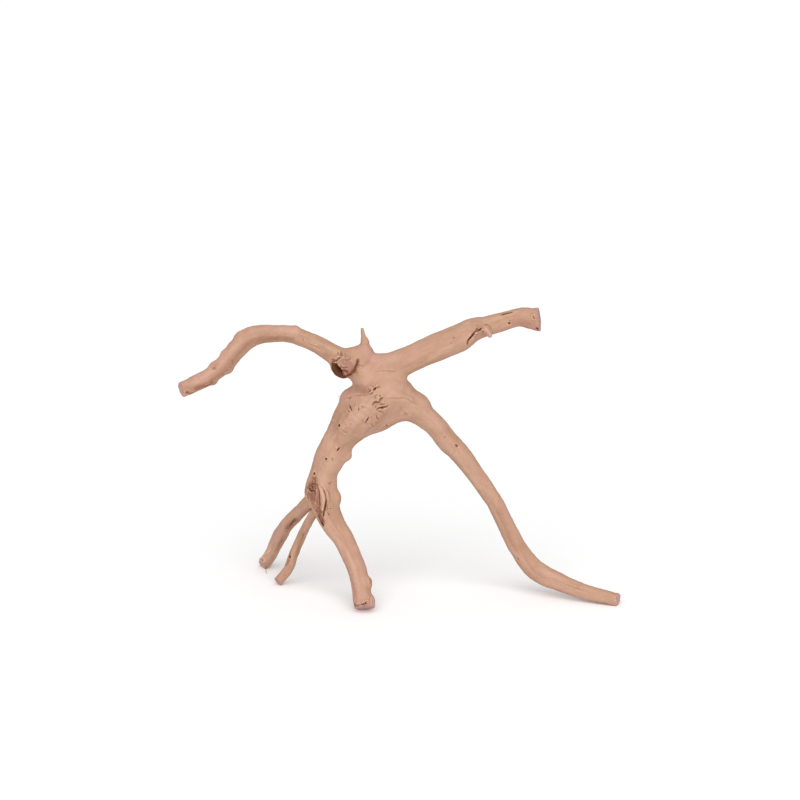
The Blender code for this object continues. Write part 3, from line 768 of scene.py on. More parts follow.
# Pits and soft planes down the main leg, and its cracked and torn foot
MAIN_LEG_MARKS = [
    pit(338.8, 425.3, 1.6, 0.9, 0.9, 0.35, red=0.4),
    bump(342.4, 428.6, 0.5, 1.2, fresh=0.15),
    crack([(343, 431), (345, 432.6), (347.6, 432)], 0.4, 0.8, 0.18),
    crack([(345.4, 427.4), (347.2, 429.2)], 0.3, 0.6, 0.2),
    crack([(339.7, 447.5), (338.5, 449.3), (336.7, 451.2)], 1.3, 0.65, 0.75, 0.4),
    # A pale ridge and bump beside the crack and the pit: painted highlights
    ridge([(337, 446.6), (335.8, 449)], 0.5, 0.7, fresh=0.5),
    pit(325.9, 459, 1.3, 0.7, 0.8, 0.3),
    bump(327.7, 458.6, 0.35, 0.45, fresh=0.45),
    crack([(331.7, 457.2), (332.8, 459.6), (331.8, 461)], 0.5, 0.55, 0.35),
    crack([(327.8, 482.2), (329.8, 483.6), (331.8, 481.4)], 0.5, 0.5, 0.35),
    crack([(329.4, 484.4), (331.4, 483.9)], 0.4, 0.4, 0.3),
    crack([(370, 577.4), (370.6, 580.6), (370.4, 584.6)], 0.5, 0.9, 0.3),
    tint([(371, 579, 1.1), (372, 583, 0.9)], 0.7, dark=0.25, lilac=0.3),
    # Pale bands down the middle of the leg and the foot, and the pale top of the ridge down the foot: painted
    # highlights
    tint([(328, 438, 4), (332, 456, 5), (330, 470, 4)], 1, fresh=0.22),
    tint([(362, 574, 1.8), (364, 590, 2.6), (363, 600, 2)], 1, fresh=0.15),
    ridge([(341, 541), (351, 560), (358, 584), (360, 600)], 0.45, 1.8, fresh=0.25),
    crack([(346, 566), (352, 582), (355.6, 598), (356.4, 604)], 0.3, 1.6, 0.1),
    tint([(352.6, 572, 1.6), (356.8, 592, 2), (357, 603, 1.8)], 0.8, lilac=0.15, red=0.08),
    crack([(355.6, 605.6), (358, 605.4), (360.4, 605.2), (363.4, 604.3), (365.6, 603.2), (366.8, 601.6)],
          2.4, 0.9, 0.95, 0.3, red=0.4),
    pit(366.4, 603.3, 0.8, 0.6, 0.6),
    patch([(366, 600.2, 0.6), (365, 601.6, 0.8), (362.6, 602.8, 0.6)], -0.7, 0.3, fresh=0.9),
    patch([(357, 604.2, 0.4), (360, 603.6, 0.5)], -0.4, 0.3, fresh=0.4, lilac=0.3),
    patch([(354.6, 604.6, 0.9), (356.4, 606.4, 1.2), (358, 606.3, 0.9)], 0.5, 0.6, dark=0.55, red=0.4),
    patch([(371.6, 598.4, 2), (373, 605, 2.6)], -0.3, 0.6, lilac=1),
    crack([(372.2, 598), (372.6, 601.4), (372, 605)], 0.6, 0.5, 0.2, scar=0.4),
    crack([(370, 596.2), (369.6, 599), (370.2, 603)], 0.4, 0.5, 0.15, scar=0.3),
    bump(368.4, 596.4, 0.4, 0.6, fresh=0.3),
]

# The long bark scar over the twigs: flaking bark, a sliver of pale wood and the dark split beside it
SCAR_MARKS = [
    patch([(313.8, 476.4, 2), (313.8, 480.6, 3), (313.2, 485, 3.8)], 0.3, 0.9, scar=0.8, dark=0.1),
    patch([(310.6, 485, 3), (310.8, 490, 4.8), (311.6, 495, 5), (312.8, 498.6, 4)], 0.6, 0.8, scar=1,
          dark=0.3),
    patch([(313, 500, 4), (314.6, 505, 3.8), (316.4, 510, 2.8)], 0.3, 1, scar=0.6, dark=0.1),
    patch([(316.6, 485, 1.2), (317.2, 491, 1.9), (317.8, 498, 2.2), (318, 506, 2.4)], 0.4, 0.8, scar=0.8,
          dark=0.24),
    patch([(318.2, 510, 2.4), (319.8, 516, 3.2), (321.4, 522, 2.8)], 0.7, 0.6, scar=1, dark=0.28),
    pit(313.7, 473.4, 1.6, 0.85, 0.95, 0.35, red=0.2),
    ridge([(311.2, 475.8), (313.8, 476.3), (315.8, 475.6)], 0.6, 0.55, fresh=0.75),
    patch([(312.6, 485, 1.4), (313.4, 489, 1.5)], 0.2, 0.5, dark=0.25),
    ridge([(308, 487.4), (307, 490.6), (307.4, 494)], 0.8, 0.8, fresh=0.5, lilac=0.3),
    patch([(305.8, 487.4, 0.5), (305.6, 491, 0.7), (305.8, 494.4, 0.5)], 0.2, 0.5, dark=0.25, scar=0.8),
    crack([(306.4, 493), (307.4, 496.8), (308.6, 500.4)], 1.2, 0.7, 0.6, 0.3, red=0.4),
    crack([(307.8, 488), (309.2, 489.8), (310.6, 491), (312.4, 490.3), (314.4, 490.8)], 1.5, 0.6, 0.95,
          0.4),
    crack([(310.8, 484.4), (311.2, 486.4), (312, 488.6)], 1.1, 0.5, 0.8, 0.35),
    crack([(313.2, 489.6), (314.4, 492), (315.3, 494.8)], 1.1, 0.55, 0.8, 0.3),
    crack([(311.2, 491.6), (311.8, 493.2)], 0.8, 0.5, 0.75),
    crack([(309.8, 485.2), (308.8, 487.4)], 0.7, 0.5, 0.6),
    crack([(315, 479), (314.6, 482), (315.6, 485)], 0.6, 0.6, 0.35, red=0.3),
    curl([(311.3, 487.6), (311, 485.8), (312.4, 484.8), (313.2, 486.2)], 0.7, 0.4, fresh=0.3),
    bump(312.4, 496, 0.5, 0.6, lilac=0.5),
    bump(310.4, 493.4, 0.4, 0.6, lilac=0.3),
    bump(309.4, 486.6, 0.5, 0.5, fresh=0.4),
    crack([(313, 483.2), (315, 484.4)], 0.8, 0.5, 0.6),
    crack([(315.2, 486), (315, 491), (315.4, 496)], 0.7, 0.5, 0.5),
    ridge([(316.4, 485.4), (317, 490.4), (317.2, 497)], 0.6, 0.8, lilac=0.5, fresh=0.3),
    crack([(316.4, 499.6), (316.4, 503), (316.2, 508)], 0.6, 0.5, 0.4),
    crack([(313.4, 503.4), (314, 506.4)], 0.5, 0.5, 0.3),
    crack([(308.4, 501), (308.3, 503.6)], 0.5, 0.5, 0.3),
    crack([(315.8, 511.8), (317.4, 512.6), (318.6, 510.6)], 0.7, 0.55, 0.5),
    crack([(318, 487), (319, 490.6), (319.4, 494.6), (319.6, 499.6), (319.8, 505), (319, 510)], 0.9, 0.55,
          0.5, 0.1, red=0.6),
    patch([(318.4, 486, 0.5), (320.8, 490.2, 1.1), (322.4, 495, 1.6), (323, 500.4, 1.6), (322.9, 506, 1.2),
          (322.6, 510.6, 0.4)], -0.9, 0.4, fresh=0.45),
    crack([(321, 493.6), (321.8, 499), (321.6, 506)], 0.5, 0.4, 0.2),
    crack([(320.6, 485.6), (323.6, 489.6), (325.4, 494.6), (326, 499)], 0.6, 0.5, 0.4, 0.3, red=0.4),
    crack([(325.9, 498), (326.2, 501.4), (325.7, 505), (324.8, 509), (324, 512.6), (323.2, 517)], 1.5, 0.8,
          0.75, 0.3, red=0.6),
    patch([(321.4, 511.6, 1.3), (323, 514, 1.5)], 0.5, 0.6, dark=0.45, red=0.5),
    ridge([(326.8, 491.6), (328, 496), (328.2, 501.6)], 0.5, 0.6, fresh=0.5),
    crack([(327.6, 489.4), (329.2, 493.4), (329.6, 496)], 0.3, 0.45, 0.2),
    crack([(328, 503.6), (327.6, 508), (327, 511)], 0.5, 0.5, 0.35),
    bump(326, 513.4, 0.5, 0.6, fresh=0.4),
    patch([(325.6, 513.4, 1.1), (325.4, 519.4, 1.2)], -0.4, 0.6, lilac=0.5, fresh=0.1),
    crack([(327.4, 512), (328.4, 514), (329.6, 516)], 0.6, 0.5, 0.5),
    pit(330.4, 508.7, 0.7, 0.5, 0.55),
    pit(328, 508.4, 0.4, 0.4, 0.35),
    crack([(322.4, 512), (322.6, 514), (322.8, 517.6)], 0.9, 0.6),
    bump(321, 514.2, 0.6, 0.6, fresh=0.8),
    crack([(318.2, 515.6), (318.8, 518.4), (319.6, 521)], 0.6, 0.9, 0.5),
    patch([(321, 523.6, 1), (322.6, 525.2, 1.3)], 0.7, 0.5, dark=0.95),
    patch([(309.2, 510.2, 0.8), (311.2, 509, 0.8)], 0.6, 0.5, dark=0.6),
]

# The long slit with its rolled lip, the broken stub, and the marks out to the sawn end
RIGHT_ARM_MARKS = [
    crack([(467.7, 345.2), (467.6, 342.2), (468.8, 339.6), (470.5, 337.5), (472.2, 335.2), (473.7, 333.2),
          (474.8, 331.4), (476, 329.8), (477.6, 328.2)], 1.8, 0.75, 0.6, 0.35, red=0.6),
    crack([(468.2, 341), (471.4, 336.4), (474.4, 332.4)], 1, 0.4, 0.9, 0),
    crack([(475.2, 331.8), (477.4, 331.4), (479.3, 330.2), (480.4, 329), (482, 328)], 1.3, 0.6),
    patch([(477.2, 330, 0.8), (478.6, 330, 0.7)], 0.5, dark=0.3, red=0.2),
    # Pale dots on the slit's lip: painted highlights
    *bumps((468.3, 337.2, 0.4, 0.5, 0.5), (469.5, 336.2, 0.4, 0.5, 0.5), (471.4, 333.4, 0.4, 0.5, 0.4)),
    ridge([(473.6, 336.6), (475.4, 335.2), (479.4, 331.8), (482, 330.4), (485, 329.8)], 0.5, 0.6,
          fresh=0.45),
    patch([(475.6, 337, 0.9), (477, 335.6, 0.9)], 0.3, 0.5, red=0.4, dark=0.1),
    tint([(474, 339, 1.6), (478.4, 335, 1.6)], 0.7, red=0.15, lilac=0.2),
    crack([(475, 334.9), (478.4, 334), (480.4, 332)], 0.5, 0.5, 0.3),
    pit(482.6, 331.4, 0.7, 0.6, 0.45),
    # Painted shade above the slit, by the stub
    patch([(476.4, 326.2, 1.3), (480.6, 326, 1.5), (483, 327.2, 1)], 0.5, 0.7, dark=0.12, red=0.06),
    crack([(484.4, 325.4), (486, 324.7), (488, 324.9), (489.4, 326)], 0.7, 0.55, 0.4, 0.1),
    crack([(489.4, 326), (490.8, 328.4), (491.6, 330.8)], 0.6, 0.6, 0.2, 0),
    # The stub: its upper side painted pale as a highlight, its tip lilac, its lower side darkened with
    # painted shade
    ridge([(485, 328), (486.8, 330), (488, 332)], 0.4, 0.9, fresh=0.5),
    tint([(488.6, 332.2, 1.6), (490, 335, 2)], 0.6, lilac=1),
    tint([(485, 333.2, 0.9), (488, 336, 1)], 0.7, dark=0.12),
    crack([(486.4, 331.6), (488.4, 334.6), (489.4, 336.4)], 0.4, 0.4, 0.25),
    crack([(501, 314.6), (504.6, 313.6), (508, 313), (513, 312)], 1.4, 1, 0.9),
    pit(508.6, 312.6, 0.8, 0.7, 0.6, 0),
    ridge([(504, 314.6), (509, 314), (514, 312.8)], 0.35, 0.7, fresh=0.25),
    pit(509.1, 323.5, 1.4, 0.75, 0.9, 0.3),
    *bumps((508.4, 320.8, 0.35, 0.45, 0.45), (510.8, 321.4, 0.35, 0.45, 0.35)),
    crack([(509.4, 320), (509.8, 321.4)], 0.4, 0.4, 0.3),
    curl([(532.3, 317.6), (532.6, 319), (534, 319.7), (535.2, 318.6), (535, 316.6), (533.6, 315.8)], 0.9,
          0.5, fresh=1),
    *bumps((533, 314.6, 0.7, 0.8, 1), (534.4, 317, 0.6, 0.6, 1)),
    pit(533.7, 318, 0.5, 0.4, 0.2, 0),
    pit(532.5, 313.2, 0.4, 0.6, 0.2),
    pit(531.2, 320.4, 0.4, 0.6, 0.2),
    patch([(536.8, 328.4, 0.9), (537.8, 329.6, 0.9)], 0.5, 0.5, dark=0.75, red=0.2),
    tint([(526, 327.4, 1.4), (533, 329.6, 1.2)], 0.8, red=0.12),
    crack([(452.4, 337.6), (455.2, 337.9)], 0.4, 0.5, 0.3),
    crack([(462, 332.4), (466, 331.9)], 0.3, 0.6, 0.2),
    crack([(450.6, 342.2), (451.2, 344.2)], 0.3, 0.5, 0.2),
    # A shallow patch, darkened with painted shade along the arm's lower side
    patch([(512, 323.4, 2.4), (524, 322.4, 2.8), (533, 323.4, 2.6)], 0.15, 1, red=0.08, dark=0.12),
    tint([(538.4, 309.6, 1.7), (539.4, 318, 1.9), (540.2, 326.4, 1.7)], 1, dark=0.34),
]

# Knots, pale nicks, soft painted shade along the left arm's underside, a painted highlight along its top, and
# its reddened end
LEFT_ARM_MARKS = [
    crack([(211.6, 369), (213.8, 368.5), (216.6, 367.8)], 0.8, 1.3, 0.3, 0.1, red=0.25),
    tint([(213, 366.6, 1.5), (217.4, 364.6, 1.5)], 1, dark=0.15, red=0.1),
    patch([(197, 388.6, 2.4), (203.4, 386.6, 2.6), (208, 385, 2.2), (212.6, 382.6, 2)], 0.1, 0.9, red=0.5,
          dark=0.12),
    crack([(203.6, 387.4), (208.4, 385.4), (212.6, 383.4)], 0.6, 0.9, 0.5, red=0.5),
    tint([(184.6, 389, 2), (190, 389, 2)], 1, dark=0.12),
    pit(187.2, 392.6, 0.6, 1.1, 0.6, red=0.2),
    crack([(186, 394), (190.6, 393.4), (195.4, 392)], 0.4, 1, 0.45),
    bump(185, 390.6, 0.3, 0.5, fresh=0.6),
    tint([(196.4, 379.6, 3), (206, 375, 2.6)], 1, lilac=0.3),
    bump(201.4, 377.6, 0.4, 0.8, fresh=0.5),
    patch([(232.8, 360.4, 0.9), (233, 363.4, 0.8)], 0.3, red=0.35),
    *bumps((213.8, 380.8, 0.6, 0.6, 0.9), (216.4, 378.4, 0.5, 0.55, 0.9), (226, 372.1, 0.5, 0.6, 0.8),
           (228.6, 368.6, 0.5, 0.55, 0.8), (206.2, 384.6, 0.3, 0.45, 0.6)),
    ridge([(200, 378.4), (203, 377.4)], 0.25, 0.7, fresh=0.2),
    crack([(303, 338.4), (303.2, 341)], 0.5, 0.6, 0.3),
    # Painted shade along the arm's underside and middle
    tint([(212, 380, 2.4), (222, 373, 3.4), (230, 364, 3.4), (240, 352, 3.4), (252, 343, 3),
          (268, 339, 2.4), (292, 339, 2)], 1, dark=0.2, red=0.06),
    tint([(246, 338, 3), (262, 334, 3), (284, 335, 3)], 1, dark=0.1),
    # A pale band along the arm's top: a painted highlight
    tint([(252, 329, 2.6), (274, 328, 2.4), (296, 329.6, 2.4)], 1, fresh=0.25, lilac=0.2),
    crack([(309, 344.4), (316, 346.6), (322, 350)], 0.25, 0.7, 0.15),
    ridge([(236, 343), (246, 334), (262, 329.6), (290, 330.4)], 0.4, 2),
]

# The few knots and nicks of the right leg
RIGHT_LEG_MARKS = [
    pit(456.8, 445.9, 1, 0.8, 0.55, 0.4, red=0.5),
    crack([(454.6, 444.4), (456.2, 445.4)], 0.4, 0.6, 0.35, red=0.3),
    ridge([(457.6, 448), (459.6, 447.4)], 0.4, 0.6, fresh=0.6),
    crack([(454.4, 449.6), (454.2, 453.6)], 0.3, 0.7, 0.15),
    pit(444.7, 436.6, 0.5, 0.5, 0.3, 0.3),
    pit(498.6, 497, 0.8, 0.6, 0.6, 0.2),
    crack([(431, 405.4), (433.6, 408.6)], 0.5, 0.7, 0.4),
    crack([(436, 412), (442, 418.4)], 0.5, 0.7, 0.35, red=0.3),
    *bumps((491.2, 486.7, 0.3, 0.4, 0.4), (512.4, 543.4, 0.3, 0.4, 0.4), (520.8, 541.9, 0.3, 0.4, 0.4)),
    crack([(517.4, 557.6), (519.4, 560.4)], 0.5, 0.6, 0.5, red=0.5),
    ridge([(452, 436), (470, 462), (484, 487), (497, 508), (508, 529), (519, 548), (536, 556)], 0.4, 2),
    crack([(560, 582), (575, 588), (590, 591)], 0.2, 0.8, 0.1),
    # Painted shade on the leg's lower side
    tint([(500, 512, 3), (507, 532, 3.4), (516, 548, 3)], 1, dark=0.15),
    bump(615, 600.6, 0.3, 0.5, fresh=0.6),
    pit(617.2, 601.3, 0.5, 0.6, 0.5, red=0.4),
]

# Bruises, knots and the curled end of the twigs
TWIG_MARKS = [
    patch([(287, 528.6, 2), (291, 524.6, 2.6), (295.4, 520, 2.2)], 0.2, 0.8, red=0.65),
    crack([(289.6, 526.8), (292.4, 523), (295, 519.6)], 0.8, 1.1, 0.6, red=0.7),
    pit(286.6, 531.6, 0.5, 0.8, 0.35, red=0.4),
    pit(281.9, 540.3, 0.5, 0.8, 0.4, red=0.4),
    tint([(272, 543, 2), (276, 533, 2.4), (284, 521, 2.4)], 0.9, red=0.12, lilac=0.35),
    tint([(281, 541, 1.4), (276, 551, 1.4)], 0.9, red=0.3),
    tint([(274, 552, 1.6), (278, 540, 1.6)], 0.9, fresh=0.2),
    tint([(284, 512, 2), (290, 506, 2)], 0.9, fresh=0.25),
    curl([(260, 561.4), (260.2, 558.6), (262.2, 557.4), (264, 558.6), (264.4, 561), (263.4, 562.6)], 0.6,
          0.6, fresh=0.8),
    pit(262.3, 560.2, 0.8, 0.8, 0.4, 0, red=0.7),
    tint([(261, 564, 1.6), (264, 567.4, 1.8)], lilac=0.8),
    pit(289.2, 556.8, 1.1, 1.1, 1),
    tint([(290.4, 551, 0.9), (289.4, 558, 1.2), (286.8, 565, 1)], 0.9, dark=0.3, red=0.3),
    patch([(303, 533.6, 1.6), (300, 544, 1.6), (296.6, 556, 1.4)], 0.1, 0.9, red=0.3),
    crack([(303.6, 533), (302.4, 538)], 0.4, 0.6, 0.3, red=0.5),
    tint([(289, 566, 1.4), (284, 575, 1.6)], 0.9, red=0.2),
    tint([(276, 579, 1.8), (280.4, 584.6, 2.2)], 0.7, lilac=1, dark=0.16),
    crack([(276, 579.6), (278.4, 582.6)], 0.5, 0.6, 0.35),
    ridge([(296, 548), (290, 562), (284, 572)], 0.2, 0.9, fresh=0.1),
]


PICTURE_MARKS = [*KNOT_MARKS, *BODY_MARKS, *MAIN_LEG_MARKS, *SCAR_MARKS, *RIGHT_ARM_MARKS, *LEFT_ARM_MARKS,
                 *RIGHT_LEG_MARKS, *TWIG_MARKS]


def marks_in_picture(tree):
    """Every mark of the picture with its line laid on the wood, and its half width along it."""
    for mark in PICTURE_MARKS:
        places = smooth_route([place[:2] for place in mark.path], 3)
        widths = [place[2] if len(place) > 2 else mark.width for place in mark.path]
        spread = np.interp(np.linspace(0, len(widths) - 1, len(places)), range(len(widths)), widths)
        yield mark, settle(laid_on(tree, places), 2), spread


def marks_out_of_sight(where, draw):
    """Marks along the grain, pits and bumps where the picture doesn't show the wood, drawn at random."""
    away = skin_field(where)[1] @ sight_axes()[1]
    hidden, behind = (np.flatnonzero((away > turned) & (where[:, 2] > height))
                      for turned, height in (OUT_OF_SIGHT, BEHIND))
    grain = grain_maps(where)[2]

    def along(start, reach):
        way = grain[start] + draw.normal(0, GRAIN_STRAY, 3)
        line = where[start] + way * reach * np.linspace(-1, 1, len(HIDDEN_TAPER))[:, None]
        return settle(line + draw.normal(0, CROOKED * reach, line.shape))

    for _ in range(HIDDEN_CRACKS.count):
        depth, width, dark = (draw.uniform(*size) for size in HIDDEN_CRACKS[1:4])
        line = along(draw.choice(hidden), draw.uniform(*HIDDEN_CRACKS.reach))
        yield crack(None, depth, width, dark, HIDDEN_LIP), line, width * HIDDEN_TAPER
    for _ in range(HIDDEN_GROOVES.count):
        depth, width = (draw.uniform(*size) for size in HIDDEN_GROOVES[1:3])
        line = along(draw.choice(behind), draw.uniform(*HIDDEN_GROOVES.reach))
        yield crack(None, depth, width, HIDDEN_GROOVES.stain), line, width * HIDDEN_TAPER
    for _ in range(HIDDEN_SCARS.count):
        scar = draw.uniform(*HIDDEN_SCARS.stain)
        mark = patch(None, HIDDEN_SCARS.depth, HIDDEN_WALL, scar=scar, burl=SCAR_BURL, dark=SCAR_DARK)
        line = along(draw.choice(behind), draw.uniform(*HIDDEN_SCARS.reach))
        yield mark, line, draw.uniform(*HIDDEN_SCARS.width) * HIDDEN_TAPER
    for kind, stain, sizes in ((pit, "dark", HIDDEN_PITS), (bump, "fresh", HIDDEN_BUMPS)):
        for _ in range(sizes.count):
            place = where[draw.choice(hidden)]
            depth, width, strength = (draw.uniform(*size) for size in sizes[1:4])
            line = np.array([place, place + HIDDEN_DOT])
            yield kind(0, 0, depth, width, **{stain: strength}), line, np.full(2, width)


def fibre_lines(coarse, tree):
    """The loose fibres' lines: those of the picture, and short ones round the rims of the sawn ends."""
    forward, right, up = sight_axes()[1:]
    pixel = DISTANCE * SENSOR / LENS / PICTURE
    for fibre in FIBRES:
        root = laid_on(tree, fibre.path[:1])[0] + FIBRE_ROOT * forward
        steps = np.subtract(fibre.path, fibre.path[0]) * pixel
        out = np.linspace(0, 1, len(steps)) ** FIBRE_BEND * (fibre.rise + FIBRE_ROOT)
        line = root + steps[:, :1] * right - steps[:, 1:] * up - out[:, None] * forward
        yield smooth_route(line, 3), fibre.width, fibre.shade
    draw = np.random.default_rng(SEED)
    where = vertex_places(coarse)
    height, slope = skin_field(where)
    off_floor = where[:, 2] > FUZZ_LOWEST
    for cut in CUTS:
        over, _, facing, close = cut_places(where, cut)
        rim = np.flatnonzero(close & (np.abs(over) < FUZZ_RIM) & (np.abs(height) < FUZZ_RIM) & off_floor)
        for start in draw.choice(rim, FUZZ):
            way = FUZZ_LEAN * slope[start] + facing + draw.normal(0, FUZZ_LEAN, 3)
            line = where[start] + way * draw.uniform(*FUZZ_LENGTH) * FUZZ_STEPS
            line += draw.normal(0, FUZZ_STRAY, line.shape)
            yield line, draw.uniform(*FUZZ_WIDTH), draw.uniform(*FUZZ_SHADE)


def smooth_step(value):
    value = np.clip(value, 0, 1)
    return value * value * (3 - 2 * value)


def uneven(where, size):
    """A number between about -1 and 1 that wanders over the wood, its waves about the given size."""
    return WAVE_HEIGHT * np.sin(where @ WAVES * (WAVE_PITCH / size) + PHASES).mean(axis=1)


def press(mark, line, spread, where, sunk, stains):
    """Sink one mark into the wood and add its stains."""
    near = close_to(line, PROFILE_REACH * spread.max(), where)
    if len(near) == 0:
        return
    distance, along = line_distance(where[near], line)
    width = np.interp(along, np.linspace(0, 1, len(spread)), spread)
    strength = np.ones(len(near))
    if mark.tapers:
        strength = np.sqrt(np.clip(4 * along * (1 - along), 0, 1))
        width = width * (TIP_SHARE + (1 - TIP_SHARE) * strength)
    if mark.wall:
        gap = distance / width + RIM_SWAY * uneven(where[near], RIM_WAVE)
        gap += FRAY_SWAY * uneven(where[near], FRAY_WAVE)
        shape = smooth_step(0.5 + (1 - gap) / (2 * mark.wall))
        stained = shape
    else:
        gap = distance / width * (1 + LINE_SWAY * uneven(where[near], LINE_WAVE))
        shape = np.exp(-gap ** 2)
        stained = smooth_step((shape - FAINTEST_STAIN) / STAIN_RANGE) * strength ** 0.5
        lip = mark.lip * strength * np.exp(-((gap - LIP_PLACE) / LIP_WIDTH) ** 2)
        sunk[near] -= lip
        # The raised lip beside the mark is painted pale in uneven waves: a painted highlight
        lip_highlight = LIP_HIGHLIGHT_SHARE * lip * (LIP_HIGHLIGHT_START + uneven(where[near], LIP_HIGHLIGHT_WAVE))
        stains["fresh"][near] = np.maximum(stains["fresh"][near], np.clip(lip_highlight, 0, STAIN_RANGE))
    sunk[near] += mark.depth * strength * shape
    for name, amount in mark.stains.items():
        stains[name][near] = np.maximum(stains[name][near], amount * stained)


# Grain and sawn ends


def grain_maps(where):
    """Places along and across the limbs in three maps, the share of each map, and the way the grain runs."""
    heights = np.full((3, len(where)), FAR)
    places = np.zeros((3, len(where), 3))
    ways = np.zeros((3, len(where), 3))
    for name, limb in LIMBS.items():
        rows = ROUTES[name]
        near = near_limb(where, rows)
        gap, _, _, place = limb_places(where[near], rows, limb.depth)
        closer = gap < heights[limb.grain, near]
        chosen = near[closer]
        heights[limb.grain, chosen] = gap[closer]
        places[limb.grain, chosen] = place[closer]
        passed = np.concatenate([[0], np.cumsum(np.linalg.norm(np.diff(rows[:, :3], axis=0), axis=1))])
        steps = np.gradient(rows[:, :3], axis=0)
        for axis in range(3):
            ways[limb.grain, chosen, axis] = np.interp(place[closer, 0], passed, steps[:, axis])
    shares = np.exp(-np.maximum(heights, 0) / MAP_SOFTNESS)
    shares /= np.maximum(shares.sum(axis=0), LEAST_LENGTH)
    strongest = shares.argmax(axis=0)
    way = ways[strongest, np.arange(len(where))]
    return places, shares, way / lengths_of(way)


def sawn_ends(where, skin, sunk, stains):
    """Saw lines, rings and radial checks on the sawn ends; gives how sawn each point is and its ring."""
    sawn = np.zeros(len(where))
    ring = np.zeros(len(where))
    for number, cut in enumerate(CUTS):
        height, on_face, facing, close = cut_places(where, cut)
        face = np.clip(-skin / RIM_SHARP, 0, 1) * np.exp(-(height / FACE_SHARP) ** 2) * close
        radius = np.linalg.norm(on_face, axis=1)
        across = np.cross(facing, OFF_FACE)
        across /= np.linalg.norm(across)
        angle = np.arctan2(on_face @ across, on_face @ np.cross(facing, across))
        fade = np.clip((radius - CHECK_START) / CHECK_FADE, 0, 1)
        for check in range(CHECKS):
            turn = np.angle(np.exp(1j * (angle - number - check * CHECK_TURN)))
            notch = np.exp(-(np.abs(turn) * radius / CHECK_WIDTH) ** 2) * fade * face
            sunk += CHECK_DEPTH * notch
            stains["dark"] = np.maximum(stains["dark"], CHECK_DARK * notch)
        sunk += SAW_LINE_DEPTH * face * np.sin(on_face @ across * 2 * np.pi / SAW_LINE_PITCH)
        sunk += RING_DEPTH * face * np.sin(radius * 2 * np.pi / RING_PITCH)
        sunk += PITH_DEPTH * face * np.exp(-(radius / PITH_SIZE) ** 2)
        sawn = np.maximum(sawn, face)
        ring = np.where(face > SAWN_LEAST, radius, ring)
    return sawn, ring


# Node trees


# How far apart the grain maps lie in the noise, and how rough its streaks are
MAP_SHIFT = 37.0
STREAK_ROUGHNESS = 0.55


def node(tree, kind, inputs=(), **settings):
    """A new node; inputs maps its sockets to values, or to the sockets that feed them."""
    made = tree.nodes.new(kind)
    for name, value in settings.items():
        setattr(made, name, value)
    for socket, value in dict(inputs).items():
        if isinstance(value, bpy.types.NodeSocket):
            tree.links.new(value, made.inputs[socket])
        else:
            made.inputs[socket].default_value = value
    return made


def sums(tree, operation, first, second=0.0, clamp=False):
    inputs = {0: first, 1: second}
    return node(tree, "ShaderNodeMath", inputs, operation=operation, use_clamp=clamp).outputs[0]


def plus(tree, first, second):
    return sums(tree, "ADD", first, second)


def times(tree, first, second):
    return sums(tree, "MULTIPLY", first, second)


def centred(tree, value):
    """A noise from 0 to 1 as a swell and a hollow round 0."""
    return sums(tree, "SUBTRACT", value, 0.5)


def vector_sums(tree, operation, first, second):
    inputs = {0: first, "Scale": second} if operation == "SCALE" else {0: first, 1: second}
    return node(tree, "ShaderNodeVectorMath", inputs, operation=operation).outputs[0]


def stored(tree, name, vector=False):
    """A number or vector kept on the vertices, in a material's tree or a geometry tree."""
    if tree.bl_idname == "GeometryNodeTree":
        kind = "FLOAT_VECTOR" if vector else "FLOAT"
        made = node(tree, "GeometryNodeInputNamedAttribute", {"Name": name}, data_type=kind)
        return made.outputs["Attribute"]
    made = node(tree, "ShaderNodeAttribute", attribute_name=name)
    return made.outputs["Vector" if vector else "Fac"]


def noise(tree, vector, scale=1.0, detail=2.0, roughness=0.5, distortion=0.0):
    inputs = {"Vector": vector, "Scale": scale, "Detail": detail, "Roughness": roughness,
              "Distortion": distortion}
    return node(tree, "ShaderNodeTexNoise", inputs).outputs["Fac"]


def spread_out(tree, value, low, high, to_low=0.0, to_high=1.0):
    inputs = {"Value": value, "From Min": low, "From Max": high, "To Min": to_low, "To Max": to_high}
    return node(tree, "ShaderNodeMapRange", inputs).outputs[0]


def along_grain(tree, length, width, detail=2.0, distortion=0.0, shift=0.0):
    """Noise drawn out along the limbs, its length and width in millimetres, and blended where they meet."""
    shares = node(tree, "ShaderNodeSeparateXYZ", {0: stored(tree, "grain share", True)})
    size = node(tree, "ShaderNodeCombineXYZ", {0: length, 1: width, 2: width}).outputs[0]
    total = None
    for number in range(3):
        moved = vector_sums(tree, "MULTIPLY", size, (shift, MAP_SHIFT * number, shift))
        place = vector_sums(tree, "ADD", stored(tree, f"grain {number}", True), moved)
        place = vector_sums(tree, "DIVIDE", place, size)
        streak = noise(tree, place, 1.0, detail, STREAK_ROUGHNESS, distortion)
        part = times(tree, streak, shares.outputs[number])
        total = part if total is None else plus(tree, total, part)
    return total


def geometry_tree(name, sockets):
    """A geometry tree with a mesh in, the named inputs given, and a mesh out."""
    tree = bpy.data.node_groups.new(name, "GeometryNodeTree")
    tree.interface.new_socket("Geometry", in_out="INPUT", socket_type="NodeSocketGeometry")
    kinds = {float: "NodeSocketFloat", int: "NodeSocketInt"}
    for label, value in sockets.items():
        kind = kinds.get(type(value), "NodeSocketMaterial")
        tree.interface.new_socket(label, in_out="INPUT", socket_type=kind)
    tree.interface.new_socket("Geometry", in_out="OUTPUT", socket_type="NodeSocketGeometry")
    return tree, tree.nodes.new("NodeGroupInput"), tree.nodes.new("NodeGroupOutput")


